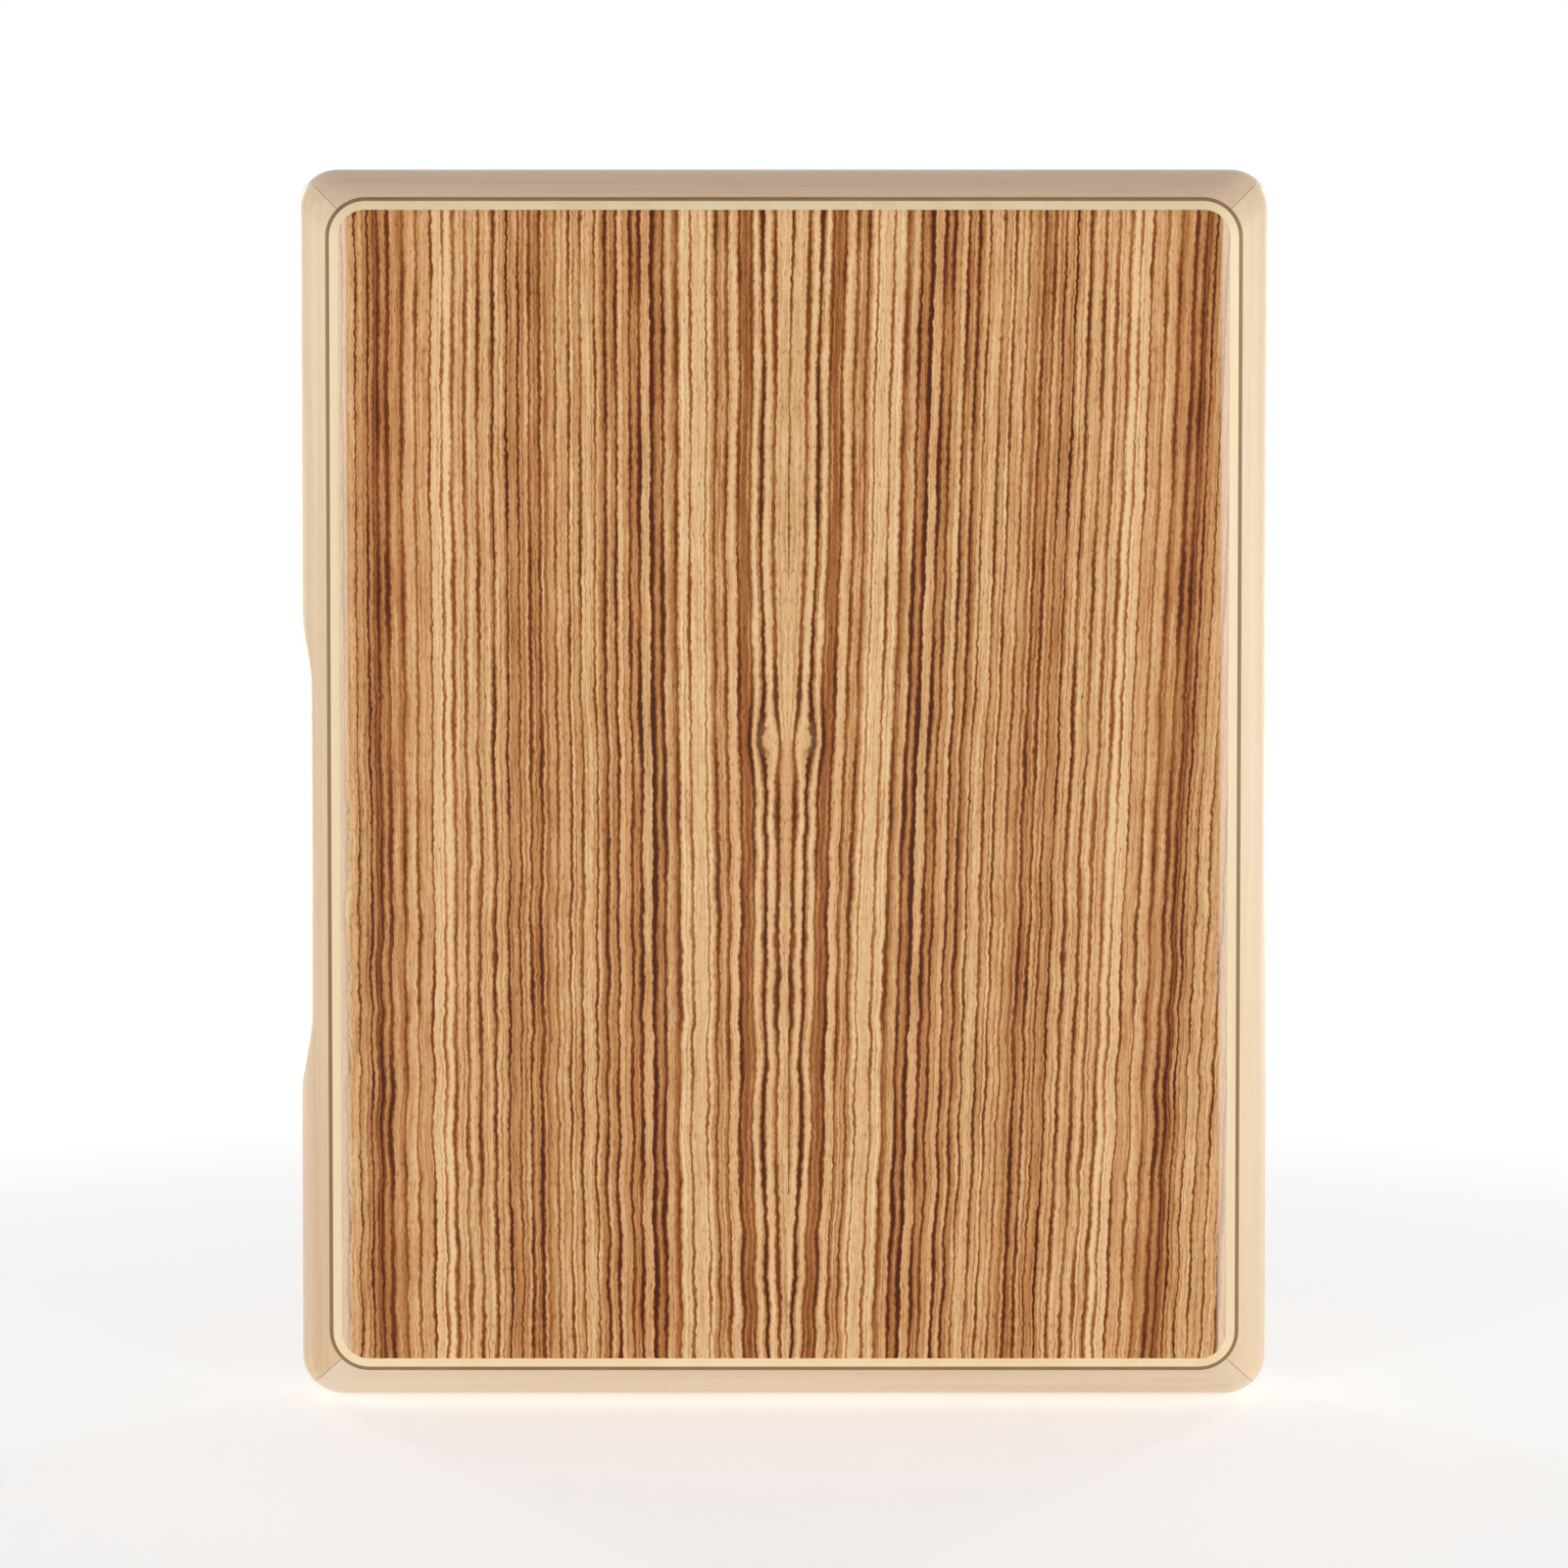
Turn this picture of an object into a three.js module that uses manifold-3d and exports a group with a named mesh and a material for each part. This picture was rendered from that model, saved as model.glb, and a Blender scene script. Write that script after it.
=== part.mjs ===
// Travel cajon: a flat box drum with a zebrano playing face and back in a crowned, mitred rim.
// Millimetres, +Z up to the top rail, the playing face towards -Y, the origin on the back face.
// A level is a distance from the middle of the depth, positive towards the playing face.

import * as THREE from "three";
import { mergeVertices } from "three/addons/utils/BufferGeometryUtils.js";
import Module from "manifold-3d";

const wasm = await Module();
wasm.setup();

// Body
const height = 310;
const width = 245;
const depth = 42;
const crownRise = 12.95;
const plateSeatWidth = 11.4;
const rimCornerRadius = 10;
const smallestCornerRadius = 1;
const mitreGap = 0.1;

// Layers of each face, from the outside in
const veneerThickness = 0.5;
const coreThickness = 1.5;
const purflingThickness = 0.8;
const frontSeamX = 1;
const backSeamX = -2;

// Sound port and the planed landing round it, in the rail on the -X side
const portWidth = 15;
const portLength = 111;
const portDrop = 19;
const portForward = 1.2;
const portChamfer = 1.2;
const landingDepth = 3.5;
const landingLength = 105;
const landingDrop = 16;
const landingRamp = 24;

// Glue blocks in the inner corners
const cornerBlockLeg = 16;
const cornerBlockInset = 1;

// Snare strings
const snareSetX = 48;
const stringsPerSet = 3;
const stringSpacing = 9;
const stringDiameter = 0.5;
const stringToTapa = 0.3;
const stringToHardware = 0.2;
const stringHook = 5;
const hardwareEdgeMargin = 6;

// Snare anchor under the top rail
const anchorBlockHeight = 12;
const anchorPlateThickness = 2;
const anchorScrewEdgeMargin = 5;
const woodScrewDiameter = 3;
const woodScrewTipCover = 4;
const woodScrewHeadDiameter = 5.6;
const woodScrewCrownDiameter = 3.6;
const woodScrewHeadHeight = 2;
const woodScrewTip = 2.5;

// Snare tension gear on the bottom rail
const hookToBore = 0.6;
const barBehindScrew = 7;
const barThickness = 6;
const barAboveBase = 8;
const fenceThickness = 6;
const fenceOverBar = 3;
const tensionScrewDiameter = 4;
const tensionScrewLength = 25;
const screwTipToRail = 3;
const tensionHeadDiameter = 7;
const tensionHeadHeight = 4;
const tensionHeadEdge = 0.4;
const hexKeySize = 3;
const hexSocketDepth = 2;
const insertWall = 0.9;
const insertFloor = 2;

// Clearance between pieces that are cut to fit each other
const fitGap = 0.3;

// Facets
const cornerSteps = 6;
const railCrownSteps = 14;
const coreCrownSteps = 3;
const thinCrownSteps = 1;
const roundSides = 20;
const stringSides = 6;
const bendSteps = 3;
const rampSteps = 8;
const cutMargin = 5;

// Values worked out from the sizes above
const middleY = -depth / 2;
const faceLevel = depth / 2;
const veneerSeatLevel = faceLevel - veneerThickness;
const plateSeatLevel = veneerSeatLevel - coreThickness;
const railFaceLevel = plateSeatLevel - purflingThickness;
const crownRadius = (crownRise ** 2 + faceLevel ** 2) / (2 * crownRise);
const railThickness = crownInset(railFaceLevel) + plateSeatWidth;
const innerX = width / 2 - railThickness;
const innerZ = height / 2 - railThickness;

const materials = {
  rim: makeMaterial("rim", 0xe6d0ae, 0.38),
  zebrano: makeMaterial("zebrano", 0xb98650, 0.45),
  core: makeMaterial("core", 0xf2dcb6, 0.42),
  purfling: makeMaterial("purfling", 0x4a2e1c, 0.5),
  block: makeMaterial("block", 0xd9bd92, 0.7),
  steel: makeMaterial("steel", 0xb9bcc0, 0.3, 1),
  brass: makeMaterial("brass", 0xc9a552, 0.3, 1),
};

const cajon = new THREE.Group();
cajon.name = "travel_cajon";

function makeMaterial(name, color, roughness, metalness = 0) {
  return new THREE.MeshStandardMaterial({ name, color, roughness, metalness, flatShading: true });
}

// A closed three.js geometry as a solid that can be cut and joined
function solidOf(geometry) {
  geometry.deleteAttribute("normal");
  geometry.deleteAttribute("uv");
  const merged = mergeVertices(geometry);
  return new wasm.Manifold(
    new wasm.Mesh({
      numProp: 3,
      vertProperties: new Float32Array(merged.attributes.position.array),
      triVerts: new Uint32Array(merged.index.array),
    }),
  );
}

function addPiece(name, solid, material) {
  const mesh = solid.getMesh();
  const geometry = new THREE.BufferGeometry();
  geometry.setAttribute("position", new THREE.BufferAttribute(mesh.vertProperties, 3));
  geometry.setIndex(new THREE.BufferAttribute(mesh.triVerts, 1));
  geometry.computeVertexNormals();
  const piece = new THREE.Mesh(geometry, material);
  piece.name = name;
  cajon.add(piece);
}

function yAtLevel(level) {
  return middleY - level;
}

// How far the crown has drawn in from its outermost line at a level
function crownInset(level) {
  return crownRadius - Math.sqrt(Math.max(0, crownRadius ** 2 - level ** 2));
}

// The rails keep one corner radius at every level, and the plates' edge is rounded over inside it
function cornerRadiusAt(level) {
  const inset = crownInset(Math.max(Math.abs(level), railFaceLevel));
  return Math.max(smallestCornerRadius, rimCornerRadius - inset + crownInset(railFaceLevel));
}

// The body's outline at a level: a rounded rectangle in X and Z
function outlineAt(level) {
  const radius = cornerRadiusAt(level);
  const centreX = width / 2 - crownInset(level) - radius;
  const centreZ = height / 2 - crownInset(level) - radius;
  const corners = [
    [1, 1],
    [-1, 1],
    [-1, -1],
    [1, -1],
  ];
  const points = [];
  corners.forEach(([sideX, sideZ], corner) => {
    for (let step = 0; step <= cornerSteps; step++) {
      const angle = (corner + step / cornerSteps) * (Math.PI / 2);
      points.push([sideX * centreX + radius * Math.cos(angle), sideZ * centreZ + radius * Math.sin(angle)]);
    }
  });
  return points;
}

// A slice of the crowned body between two levels, lofted through its outlines
function crownedSlice(fromLevel, toLevel, steps) {
  const fromAngle = Math.asin(fromLevel / crownRadius);
  const toAngle = Math.asin(toLevel / crownRadius);
  const positions = [];
  const triangles = [];
  let ringSize = 0;
  for (let step = 0; step <= steps; step++) {
    const angle = THREE.MathUtils.lerp(fromAngle, toAngle, step / steps);
    const level = crownRadius * Math.sin(angle);
    const outline = outlineAt(level);
    ringSize = outline.length;
    outline.forEach(([x, z]) => positions.push(x, yAtLevel(level), z));
  }
  for (let step = 0; step < steps; step++) {
    for (let point = 0; point < ringSize; point++) {
      const next = (point + 1) % ringSize;
      const here = step * ringSize;
      const above = here + ringSize;
      triangles.push(here + point, here + next, above + next);
      triangles.push(here + point, above + next, above + point);
    }
  }
  const lastRing = steps * ringSize;
  for (let point = 1; point < ringSize - 1; point++) {
    triangles.push(0, point + 1, point);
    triangles.push(lastRing, lastRing + point, lastRing + point + 1);
  }
  const geometry = new THREE.BufferGeometry();
  geometry.setAttribute("position", new THREE.Float32BufferAttribute(positions, 3));
  geometry.setIndex(triangles);
  return solidOf(geometry);
}

// The same slice for the playing face, side 1, or for the back, side -1
function faceSlice(side, innerLevel, outerLevel, steps) {
  const levels = side > 0 ? [innerLevel, outerLevel] : [-outerLevel, -innerLevel];
  return crownedSlice(...levels, steps);
}

function box(fromX, toX, fromY, toY, fromZ, toZ) {
  const geometry = new THREE.BoxGeometry(toX - fromX, toY - fromY, toZ - fromZ);
  return solidOf(geometry.translate((fromX + toX) / 2, (fromY + toY) / 2, (fromZ + toZ) / 2));
}

// A box between two levels, given from its back to its front
function boxAtLevels(fromX, toX, backLevel, frontLevel, fromZ, toZ) {
  return box(fromX, toX, yAtLevel(frontLevel), yAtLevel(backLevel), fromZ, toZ);
}

function shapeOf(points) {
  return new THREE.Shape(points.map(([a, b]) => new THREE.Vector2(a, b)));
}

// A prism along Y between two levels, from an outline in X and Z
function prismAlongY(points, backLevel, frontLevel) {
  const geometry = new THREE.ExtrudeGeometry(shapeOf(points), {
    depth: frontLevel - backLevel,
    bevelEnabled: false,
  });
  return solidOf(geometry.rotateX(Math.PI / 2).translate(0, yAtLevel(backLevel), 0));
}

// A round rod along Z
function rod(x, level, fromZ, toZ, diameter, sides = roundSides) {
  const geometry = new THREE.CylinderGeometry(diameter / 2, diameter / 2, toZ - fromZ, sides);
  return solidOf(geometry.rotateX(Math.PI / 2).translate(x, yAtLevel(level), (fromZ + toZ) / 2));
}

// A turned piece along Z, from radius and height pairs that start and end on the axis
function turned(x, level, profile) {
  const points = profile.map(([radius, z]) => new THREE.Vector2(radius, z));
  const geometry = new THREE.LatheGeometry(points, roundSides);
  return solidOf(geometry.rotateX(Math.PI / 2).translate(x, yAtLevel(level), 0));
}

// The four rails share one crowned ring, parted at the mitres
function makeRim() {
  const body = crownedSlice(-railFaceLevel, railFaceLevel, railCrownSteps);
  const cavity = boxAtLevels(-innerX, innerX, -depth, depth, -innerZ, innerZ);
  return body.subtract(cavity);
}

// The part of the plane that belongs to the top rail, sideZ 1, or the bottom rail, sideZ -1
function railWedgeAcross(sideZ) {
  const inward = railThickness + cutMargin;
  const gap = mitreGap / Math.SQRT2;
  const outerX = width / 2 + cutMargin - gap;
  const innerEndX = width / 2 - inward - gap;
  const outerZ = sideZ * (height / 2 + cutMargin);
  const innerEndZ = sideZ * (height / 2 - inward);
  return [
    [-outerX, outerZ],
    [outerX, outerZ],
    [innerEndX, innerEndZ],
    [-innerEndX, innerEndZ],
  ];
}

// The part of the plane that belongs to the rail on the +X side or on the -X side
function railWedgeUpright(sideX) {
  const inward = railThickness + cutMargin;
  const gap = mitreGap / Math.SQRT2;
  const outerZ = height / 2 + cutMargin - gap;
  const innerEndZ = height / 2 - inward - gap;
  const outerX = sideX * (width / 2 + cutMargin);
  const innerEndX = sideX * (width / 2 - inward);
  return [
    [outerX, -outerZ],
    [outerX, outerZ],
    [innerEndX, innerEndZ],
    [innerEndX, -innerEndZ],
  ];
}

// The port's outline in Y and Z, a slot with round ends
function portOutline() {
  const radius = portWidth / 2;
  const reach = portLength / 2 - radius;
  const centreY = yAtLevel(portForward);
  const outline = new THREE.Shape();
  outline.absarc(centreY, reach - portDrop, radius, 0, Math.PI, false);
  outline.absarc(centreY, -reach - portDrop, radius, Math.PI, 2 * Math.PI, false);
  return outline;
}

// A prism along X from an outline in Y and Z, with its first edge drawn in by the chamfer
function prismAlongX(outline, fromX, length, chamfer) {
  const geometry = new THREE.ExtrudeGeometry(outline, {
    depth: length,
    curveSegments: roundSides / 2,
    bevelEnabled: chamfer > 0,
    bevelThickness: chamfer,
    bevelSize: chamfer,
    bevelSegments: 1,
  });
  const turn = new THREE.Matrix4().makeBasis(
    new THREE.Vector3(0, 1, 0),
    new THREE.Vector3(0, 0, 1),
    new THREE.Vector3(1, 0, 0),
  );
  return solidOf(geometry.applyMatrix4(turn).translate(fromX, 0, 0));
}

// The wood that is planed off the crown so that the port's rim lies on a shallow landing
function landingCut() {
  const outerX = -width / 2;
  const middle = -landingDrop;
  const reach = (landingLength + landingRamp) / 2;
  const upperRamp = [];
  for (let step = 0; step <= rampSteps; step++) {
    const along = step / rampSteps;
    const cut = (landingDepth * (1 - Math.cos(Math.PI * along))) / 2;
    upperRamp.push([outerX + cut, reach - along * landingRamp]);
  }
  const lowerRamp = upperRamp.map(([x, z]) => [x, -z]).reverse();
  const profile = [...upperRamp, ...lowerRamp].map(([x, z]) => [x, z + middle]);
  const outside = outerX - cutMargin;
  return prismAlongY([[outside, middle + reach], ...profile, [outside, middle - reach]], -depth, depth);
}

function cutPortSide(rail) {
  const landingX = -width / 2 + landingDepth;
  const through = prismAlongX(portOutline(), landingX - cutMargin, railThickness + 2 * cutMargin, 0);
  return rail.subtract(landingCut()).subtract(through).subtract(portMouth(landingX));
}

// The eased edge of the port: wide outside the landing, down to the port's own size inside it
function portMouth(landingX) {
  const mouth = prismAlongX(portOutline(), 0, cutMargin, portChamfer);
  return mouth.rotate([0, 0, 180]).translate([landingX, 2 * yAtLevel(portForward), 0]);
}

function addRim() {
  const rim = makeRim();
  const cut = (wedge) => rim.intersect(prismAlongY(wedge, -depth, depth));
  addPiece("top_rail", cut(railWedgeAcross(1)), materials.rim);
  addPiece("bottom_rail", cut(railWedgeAcross(-1)), materials.rim);
  addPiece("port_side_rail", cutPortSide(cut(railWedgeUpright(-1))), materials.rim);
  addPiece("plain_side_rail", cut(railWedgeUpright(1)), materials.rim);
}

function addCornerBlocks() {
  const level = plateSeatLevel - cornerBlockInset;
  for (const [sideZ, zName] of [[1, "top"], [-1, "bottom"]]) {
    for (const [sideX, xName] of [[-1, "port"], [1, "plain"]]) {
      const cornerX = sideX * innerX;
      const cornerZ = sideZ * innerZ;
      const points = [
        [cornerX, cornerZ],
        [cornerX - sideX * cornerBlockLeg, cornerZ],
        [cornerX, cornerZ - sideZ * cornerBlockLeg],
      ];
      addPiece(`corner_block_${zName}_${xName}_side`, prismAlongY(points, -level, level), materials.block);
    }
  }
}

// A face is a dark purfling, a ply core and two book-matched veneer leaves that meet at the seam
function addFace(side, purflingName, coreName, leafName, seamX) {
  const opening = boxAtLevels(-innerX, innerX, -depth, depth, -innerZ, innerZ);
  const purfling = faceSlice(side, railFaceLevel, plateSeatLevel, thinCrownSteps).subtract(opening);
  addPiece(purflingName, purfling, materials.purfling);
  addPiece(coreName, faceSlice(side, plateSeatLevel, veneerSeatLevel, coreCrownSteps), materials.core);
  const veneer = faceSlice(side, veneerSeatLevel, faceLevel, thinCrownSteps);
  const leftHalf = boxAtLevels(-width, seamX, -depth, depth, -height, height);
  const rightHalf = boxAtLevels(seamX, width, -depth, depth, -height, height);
  addPiece(`${leafName}_left`, veneer.intersect(leftHalf), materials.zebrano);
  addPiece(`${leafName}_right`, veneer.intersect(rightHalf), materials.zebrano);
}

const stringLevel = plateSeatLevel - stringToTapa - stringDiameter / 2;
const hardwareFrontLevel = stringLevel - stringDiameter / 2 - stringToHardware;
const stringBend = stringDiameter;
const hookGroove = stringDiameter + 2 * fitGap;
const hardwareHalfWidth = ((stringsPerSet - 1) * stringSpacing) / 2 + hardwareEdgeMargin;
const hookBackLevel = stringLevel - stringHook;
const screwBore = tensionScrewDiameter + 2 * fitGap;
const screwLevel = hookBackLevel - fitGap - hookToBore - screwBore / 2;
const barBackLevel = screwLevel - barBehindScrew;
const fenceFrontLevel = barBackLevel - fitGap;
const blockBackLevel = fenceFrontLevel - fenceThickness;
const blockFrontLevel = hardwareFrontLevel - fitGap;
const anchorScrewLevel = (blockBackLevel + hookBackLevel) / 2;
const woodScrewBore = woodScrewDiameter + 2 * fitGap;
const woodScrewLength = anchorPlateThickness + anchorBlockHeight - woodScrewTipCover;
const anchorFaceZ = innerZ - anchorBlockHeight;
const upperHookZ = anchorFaceZ + hookGroove / 2;
const footBaseHeight = tensionScrewLength + screwTipToRail - barThickness - barAboveBase;
const footTopZ = -innerZ + footBaseHeight;
const barBottomZ = footTopZ + barAboveBase;
const barTopZ = barBottomZ + barThickness;
const lowerHookZ = barBottomZ + hookGroove / 2;

function stringXs(setX) {
  const first = setX - ((stringsPerSet - 1) * stringSpacing) / 2;
  return Array.from({ length: stringsPerSet }, (_, index) => first + index * stringSpacing);
}

// A wire of straight runs and quarter bends, whose points are taken one by one
class WireRoute extends THREE.Curve {
  constructor(points) {
    super();
    this.points = points;
  }

  getPoint(share, target = new THREE.Vector3()) {
    const place = THREE.MathUtils.clamp(share, 0, 1) * (this.points.length - 1);
    const first = Math.min(Math.floor(place), this.points.length - 2);
    return target.lerpVectors(this.points[first], this.points[first + 1], place - first);
  }

  getUtoTmapping(share) {
    return share;
  }
}

// Each string hooks back over the anchor plate and back under the tension bar
function stringRoute(x) {
  const at = (level, z) => new THREE.Vector3(x, yAtLevel(level), z);
  const points = [at(hookBackLevel, upperHookZ)];
  for (let step = 0; step <= bendSteps; step++) {
    const angle = (step / bendSteps) * (Math.PI / 2);
    const level = stringLevel - stringBend * (1 - Math.sin(angle));
    points.push(at(level, upperHookZ - stringBend * (1 - Math.cos(angle))));
  }
  for (let step = bendSteps; step >= 0; step--) {
    const angle = (step / bendSteps) * (Math.PI / 2);
    const level = stringLevel - stringBend * (1 - Math.sin(angle));
    points.push(at(level, lowerHookZ + stringBend * (1 - Math.cos(angle))));
  }
  points.push(at(hookBackLevel, lowerHookZ));
  return points;
}

function makeString(x) {
  const points = stringRoute(x);
  const section = new THREE.Shape(
    Array.from({ length: stringSides }, (_, side) => {
      const angle = (side / stringSides) * 2 * Math.PI;
      return new THREE.Vector2(Math.cos(angle), Math.sin(angle)).multiplyScalar(stringDiameter / 2);
    }),
  );
  return solidOf(
    new THREE.ExtrudeGeometry(section, { steps: points.length - 1, extrudePath: new WireRoute(points) }),
  );
}

function hookGrooves(setX, fromZ) {
  return stringXs(setX).map((x) =>
    boxAtLevels(
      x - hookGroove / 2,
      x + hookGroove / 2,
      hookBackLevel - fitGap,
      faceLevel,
      fromZ,
      fromZ + hookGroove,
    ),
  );
}

function makeWoodScrew(x) {
  const radius = woodScrewDiameter / 2;
  const seatZ = anchorFaceZ - anchorPlateThickness;
  const tipZ = seatZ + woodScrewLength;
  return turned(x, anchorScrewLevel, [
    [0, seatZ - woodScrewHeadHeight],
    [woodScrewCrownDiameter / 2, seatZ - woodScrewHeadHeight],
    [woodScrewHeadDiameter / 2, seatZ - woodScrewHeadHeight / 2],
    [woodScrewHeadDiameter / 2, seatZ],
    [radius, seatZ],
    [radius, tipZ - woodScrewTip],
    [0, tipZ],
  ]);
}

function addAnchor(name, setX) {
  const left = setX - hardwareHalfWidth;
  const right = setX + hardwareHalfWidth;
  const plateBottomZ = anchorFaceZ - anchorPlateThickness;
  let block = boxAtLevels(left, right, blockBackLevel, blockFrontLevel, anchorFaceZ, innerZ);
  let plate = boxAtLevels(left, right, blockBackLevel, hardwareFrontLevel, plateBottomZ, anchorFaceZ);
  hookGrooves(setX, anchorFaceZ).forEach((groove) => {
    block = block.subtract(groove);
  });
  [-1, 1].forEach((sideX, index) => {
    const screwX = setX + sideX * (hardwareHalfWidth - anchorScrewEdgeMargin);
    const holeTopZ = plateBottomZ + woodScrewLength + fitGap;
    const hole = rod(screwX, anchorScrewLevel, plateBottomZ - cutMargin, holeTopZ, woodScrewBore);
    block = block.subtract(hole);
    plate = plate.subtract(hole);
    addPiece(`${name}_anchor_screw_${index + 1}`, makeWoodScrew(screwX), materials.steel);
  });
  addPiece(`${name}_anchor_block`, block, materials.block);
  addPiece(`${name}_anchor_plate`, plate, materials.steel);
}

function makeTensionScrew(setX) {
  const radius = tensionScrewDiameter / 2;
  const headRadius = tensionHeadDiameter / 2;
  const tipZ = barTopZ - tensionScrewLength;
  const headTopZ = barTopZ + tensionHeadHeight;
  const screw = turned(setX, screwLevel, [
    [0, tipZ],
    [radius - tensionHeadEdge, tipZ],
    [radius, tipZ + tensionHeadEdge],
    [radius, barTopZ],
    [headRadius, barTopZ],
    [headRadius, headTopZ - tensionHeadEdge],
    [headRadius - tensionHeadEdge, headTopZ],
    [0, headTopZ],
  ]);
  const acrossCorners = (hexKeySize * 2) / Math.sqrt(3);
  const socketFloorZ = headTopZ - hexSocketDepth;
  return screw.subtract(rod(setX, screwLevel, socketFloorZ, headTopZ + cutMargin, acrossCorners, 6));
}

function addTensionGear(name, setX) {
  const left = setX - hardwareHalfWidth;
  const right = setX + hardwareHalfWidth;
  const insertDiameter = screwBore + 2 * insertWall;
  const insertBottomZ = -innerZ + insertFloor;
  const passage = rod(setX, screwLevel, -innerZ - cutMargin, barTopZ + cutMargin, screwBore);
  const base = boxAtLevels(left, right, blockBackLevel, blockFrontLevel, -innerZ, footTopZ);
  const fence = boxAtLevels(left, right, blockBackLevel, fenceFrontLevel, -innerZ, barTopZ + fenceOverBar);
  const socketDiameter = insertDiameter + 2 * fitGap;
  const socket = rod(setX, screwLevel, -innerZ - cutMargin, footTopZ + cutMargin, socketDiameter);
  addPiece(`${name}_foot_block`, base.add(fence).subtract(socket), materials.block);
  const insert = rod(setX, screwLevel, insertBottomZ, footTopZ, insertDiameter).subtract(passage);
  addPiece(`${name}_threaded_insert`, insert, materials.brass);
  let bar = boxAtLevels(left, right, barBackLevel, hardwareFrontLevel, barBottomZ, barTopZ).subtract(passage);
  hookGrooves(setX, barBottomZ).forEach((groove) => {
    bar = bar.subtract(groove);
  });
  addPiece(`${name}_tension_bar`, bar, materials.steel);
  addPiece(`${name}_tension_screw`, makeTensionScrew(setX), materials.steel);
}

function addSnareSet(name, setX) {
  addAnchor(name, setX);
  addTensionGear(name, setX);
  stringXs(setX).forEach((x, index) => {
    addPiece(`${name}_snare_string_${index + 1}`, makeString(x), materials.steel);
  });
}

addRim();
addCornerBlocks();
addFace(1, "front_purfling", "tapa_core", "tapa_veneer", frontSeamX);
addFace(-1, "back_purfling", "back_core", "back_veneer", backSeamX);
addSnareSet("left", -snareSetX);
addSnareSet("right", snareSetX);

export default cajon;
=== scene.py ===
# %% [markdown]
# # A travel cajon
#
# A travel cajon is a flat box drum that is held on the lap. Four pale rails with a crowned outer
# face make a frame, a thin zebrano face is glued on the front and another on the back, and snare
# wires buzz against the inside of the playing face. The engineering model already gives every
# piece its size and place. This lesson dresses it: each piece is modelled again with a finer
# surface, in the same place, and gets its timber, lacquer or metal.
#
# ## Load the frame
#
# The frame holds the plain solids. Their box is kept before anything is added.

# %% Load the frame and keep its box
import math

import bmesh
import bpy
from mathutils import Matrix, Vector


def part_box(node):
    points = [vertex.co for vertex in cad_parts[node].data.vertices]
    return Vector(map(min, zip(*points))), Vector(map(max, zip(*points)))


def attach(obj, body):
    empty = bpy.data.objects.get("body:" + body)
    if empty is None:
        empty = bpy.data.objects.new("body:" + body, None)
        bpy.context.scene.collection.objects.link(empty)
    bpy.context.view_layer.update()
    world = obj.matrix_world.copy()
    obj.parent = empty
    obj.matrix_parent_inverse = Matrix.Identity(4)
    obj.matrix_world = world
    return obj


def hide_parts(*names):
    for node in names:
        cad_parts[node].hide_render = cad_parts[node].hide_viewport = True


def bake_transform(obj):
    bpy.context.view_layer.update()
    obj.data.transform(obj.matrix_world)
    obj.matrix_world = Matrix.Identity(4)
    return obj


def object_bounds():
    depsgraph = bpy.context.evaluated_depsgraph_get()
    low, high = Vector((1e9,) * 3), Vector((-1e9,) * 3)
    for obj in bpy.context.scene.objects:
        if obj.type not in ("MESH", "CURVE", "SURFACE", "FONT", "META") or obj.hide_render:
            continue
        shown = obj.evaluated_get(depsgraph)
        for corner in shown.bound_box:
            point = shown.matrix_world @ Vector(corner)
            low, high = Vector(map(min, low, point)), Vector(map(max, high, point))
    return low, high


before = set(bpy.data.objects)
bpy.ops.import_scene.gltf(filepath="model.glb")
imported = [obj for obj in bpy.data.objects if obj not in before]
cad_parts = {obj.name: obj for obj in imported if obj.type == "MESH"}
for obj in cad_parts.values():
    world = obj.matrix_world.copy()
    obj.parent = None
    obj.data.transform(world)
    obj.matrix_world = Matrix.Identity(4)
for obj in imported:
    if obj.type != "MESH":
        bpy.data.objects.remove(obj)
cad_low, cad_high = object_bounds()
MM = 0.001
print("solids:", len(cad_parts), "box:", tuple(cad_low), tuple(cad_high))

# %% [markdown]
# ## Measure the drum from its solids
#
# Everything that follows is worked out from the frame, so the dressed pieces fit each other. The
# drum is symmetric about its mid-depth, so a *level* is the distance from there towards a face.
# The outer face of the rails is part of a circle. One chord gives its radius: where the crown has
# drawn in by s at a level h, the radius is (s² + h²) / 2s.

# %% Sizes worked out from the frame
half_width = (cad_high.x - cad_low.x) / 2
half_height = (cad_high.z - cad_low.z) / 2
middle_y = (cad_high.y + cad_low.y) / 2
face_level = (cad_high.y - cad_low.y) / 2


def node_level(node):
    """The level of a node's front, measured from the middle of the drum's depth."""
    return middle_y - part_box(node)[0].y


seat_level = node_level("plain_side_rail")
core_level = node_level("front_purfling")
veneer_level = node_level("tapa_core")
seat_inset = cad_high.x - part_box("front_purfling")[1].x
crown_radius = (seat_inset ** 2 + seat_level ** 2) / (2 * seat_inset)
inner_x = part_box("plain_side_rail")[0].x
inner_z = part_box("top_rail")[0].z
front_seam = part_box("tapa_veneer_right")[0].x
back_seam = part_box("back_veneer_right")[0].x
print("crown radius", round(crown_radius / MM, 2), "seat inset", round(seat_inset / MM, 2))
print("inside", round(inner_x / MM, 2), round(inner_z / MM, 2), "seams", front_seam, back_seam)
print("levels", [round(level / MM, 2) for level in (seat_level, core_level, veneer_level, face_level)])

# %% [markdown]
# ## A short way to write materials
#
# A node material is a diagram, and in code a diagram soon gets long. A small class keeps it
# readable: it adds one node at a time and takes a number, a colour or another node's output for
# each input. The same class fills the shared node groups and the materials.

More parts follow.
